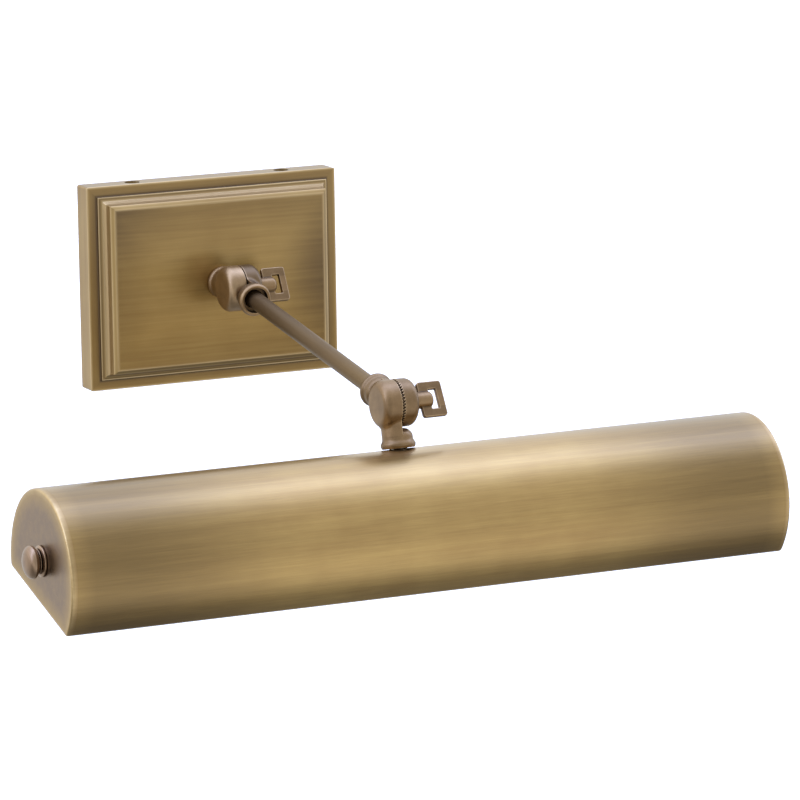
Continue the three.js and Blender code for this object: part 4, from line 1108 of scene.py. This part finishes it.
aside = LEAD_OFFSET
add_lead("plate_lead", [
    (-aside, rear_y + 5.5, 0), (-aside, rear_y + 9, 0), (-aside, rear_y + 13, 0), (-1.7, rear_y + 18, 0),
    (-1.7, rear_y + 33, 0), (-1.6, -9, -1), (-1.2, -6.2, -10), (0, -6, -20), (0, -3.5, -WIRE_HOLE_DROP),
    (0, -0.4, -WIRE_HOLE_DROP)], PLACED)
add_lead("ground_lead", [
    (1.7, rear_y + 24, 0), (1.7, rear_y + 33, 0), (1.7, -9.6, 1), (1.8, -7, 8), (2.6, -5.6, 15),
    (3, -5.4, 19)], PLACED, THIN_LEAD, earth)
arm_end = [(aside, 5.5), (aside, 9), (aside, 13), (1.2, 20), (0, 40)]
far_end = [(x, ARM_LENGTH - z) for x, z in arm_end[::-1]]
add_lead("arm_lead", [(x, 0, z) for x, z in arm_end + far_end], ARM)
top = ARC_CENTRE - 5.5
add_lead("switch_lead", [
    (-aside, 0, top), (-aside, 0, top - 3.5), (-aside, 0, top - 7.5), (-1.7, 0, top - 12.5),
    (-1.7, 0, NIPPLE_FOOT + 2), (-2, -5, NIPPLE_FOOT - 4), (-4, -16, NIPPLE_FOOT - 3), (-16, -19, 30),
    (-60, -20, 30), (-140, -20, 30), (-176, -18, 25), (-183, -10, 9), (-185, -5, 6.2)], STEM)
for word, side in HANDS:
    add_lead(f"socket_lead_{word}", [
        (side * 1.6, 2.4, NIPPLE_FOOT - 1), (side * 3, 4, NIPPLE_FOOT - 4), (side * 6, 1, BRACKET_TOP - 16),
        (side * BRACKET_HALF, 0, BRACKET_TOP - 16), (side * (BRACKET_HALF + 4), 0, BRACKET_TOP - 17)],
        STEM, THIN_LEAD)

# -------- studio


def fill(ramp, lights, top, cool=0.0):
    """Grey stops at angles from -180 to 180 degrees, bluer around the overhead light."""
    stops = ramp.color_ramp.elements
    stops.remove(stops[1])
    overhead, reach = 98, 42
    for degrees, light in lights:
        stop = stops.new((degrees + 180) / 360) if degrees > -180 else stops[0]
        blue = cool * max(0, 1 - ((degrees - overhead) / reach) ** 2) ** 2
        stop.color = (light / top, light / top * (1 + 0.22 * blue), light / top * (1 + blue), 1)


# Brightness by angle about the shade's length: 0 is level in front, 90 overhead, 180 level behind.
LIGHTS = [
    (-180, 0.85), (-150, 0.8), (-120, 0.45), (-90, 0.28), (-72, 0.35), (-60, 0.4), (-50, 0.84), (-36, 1.22),
    (-25, 1.25), (-6, 1.1), (14, 0.92), (34, 0.94), (54, 0.98), (68, 1.05), (80, 1.75), (100, 2.5),
    (112, 1.8), (126, 1.35), (150, 1.2), (180, 0.9)]
# Factors by angle about the vertical: 0 is straight in front, positive to the left.
SIDES = [
    (-180, 1.0), (-20, 1.0), (0, 0.75), (40, 0.7), (62, 1.0), (90, 1.2), (130, 1.3), (165, 1.1), (180, 1.0)]
LIGHTS_TOP, SIDES_TOP = 8.0, 2.0  # brightness that a ramp's value of 1 stands for


def studio():
    """A world with long soft lights overhead, a paler floor bounce in front and a dimmer back.

    The background is plain white where it is seen directly."""
    scene.world = bpy.data.worlds.new("studio")
    g = Graph(scene.world)

    def by_angle(a, b, lights, top, cool=0.0):
        share = g.span(g.math("ARCTAN2", a, b), -math.pi, math.pi)
        ramp = g.node("ShaderNodeValToRGB", {"Fac": share})
        ramp.color_ramp.interpolation = "EASE"
        fill(ramp, lights, top, cool)
        return ramp.outputs[0]
    generated = g.node("ShaderNodeTexCoord", {}).outputs["Generated"]
    x, y, z = g.node("ShaderNodeSeparateXYZ", {0: generated}).outputs
    toward = g.math("MULTIPLY", y, -1.0)
    lights = by_angle(z, toward, LIGHTS, LIGHTS_TOP, 0.75)
    sides = by_angle(g.math("MULTIPLY", x, -1.0), toward, SIDES, SIDES_TOP)
    low = g.span(g.math("ABSOLUTE", z), 0.85, 0.35)
    even = colour(*(1 / SIDES_TOP,) * 3)
    shaped = g.mix(1.0, lights, g.mix(low, even, sides), "MULTIPLY")
    lit = g.node("ShaderNodeBackground", {"Color": shaped, "Strength": LIGHTS_TOP * SIDES_TOP})
    plain = g.node("ShaderNodeBackground", {"Color": colour(1, 1, 1), "Strength": 1.0})
    seen = g.node("ShaderNodeLightPath", {}).outputs["Is Camera Ray"]
    both = g.node("ShaderNodeMixShader", {0: seen, 1: lit.outputs[0], 2: plain.outputs[0]})
    g.node("ShaderNodeOutputWorld", {"Surface": both.outputs[0]})


studio()

FLOOR_LEVEL, FLOOR_RADIUS, FLOOR_SIDES = -0.36, 12, 64
ring = [(FLOOR_RADIUS * math.cos(a), FLOOR_RADIUS * math.sin(a), FLOOR_LEVEL)
        for a in np.linspace(0, 2 * math.pi, FLOOR_SIDES, endpoint=False)]
floor_mesh = bpy.data.meshes.new("floor")
floor_mesh.from_pydata(ring, [], [tuple(range(FLOOR_SIDES))])
floor = bpy.data.objects.new("floor", floor_mesh)
scene.collection.objects.link(floor)
paint = material_graph("floor_paint").finish(Base_Color=colour(0.95, 0.95, 0.95), Roughness=0.9)
floor_mesh.materials.append(paint)
floor.visible_glossy = False
scene.view_settings.view_transform = "Standard"
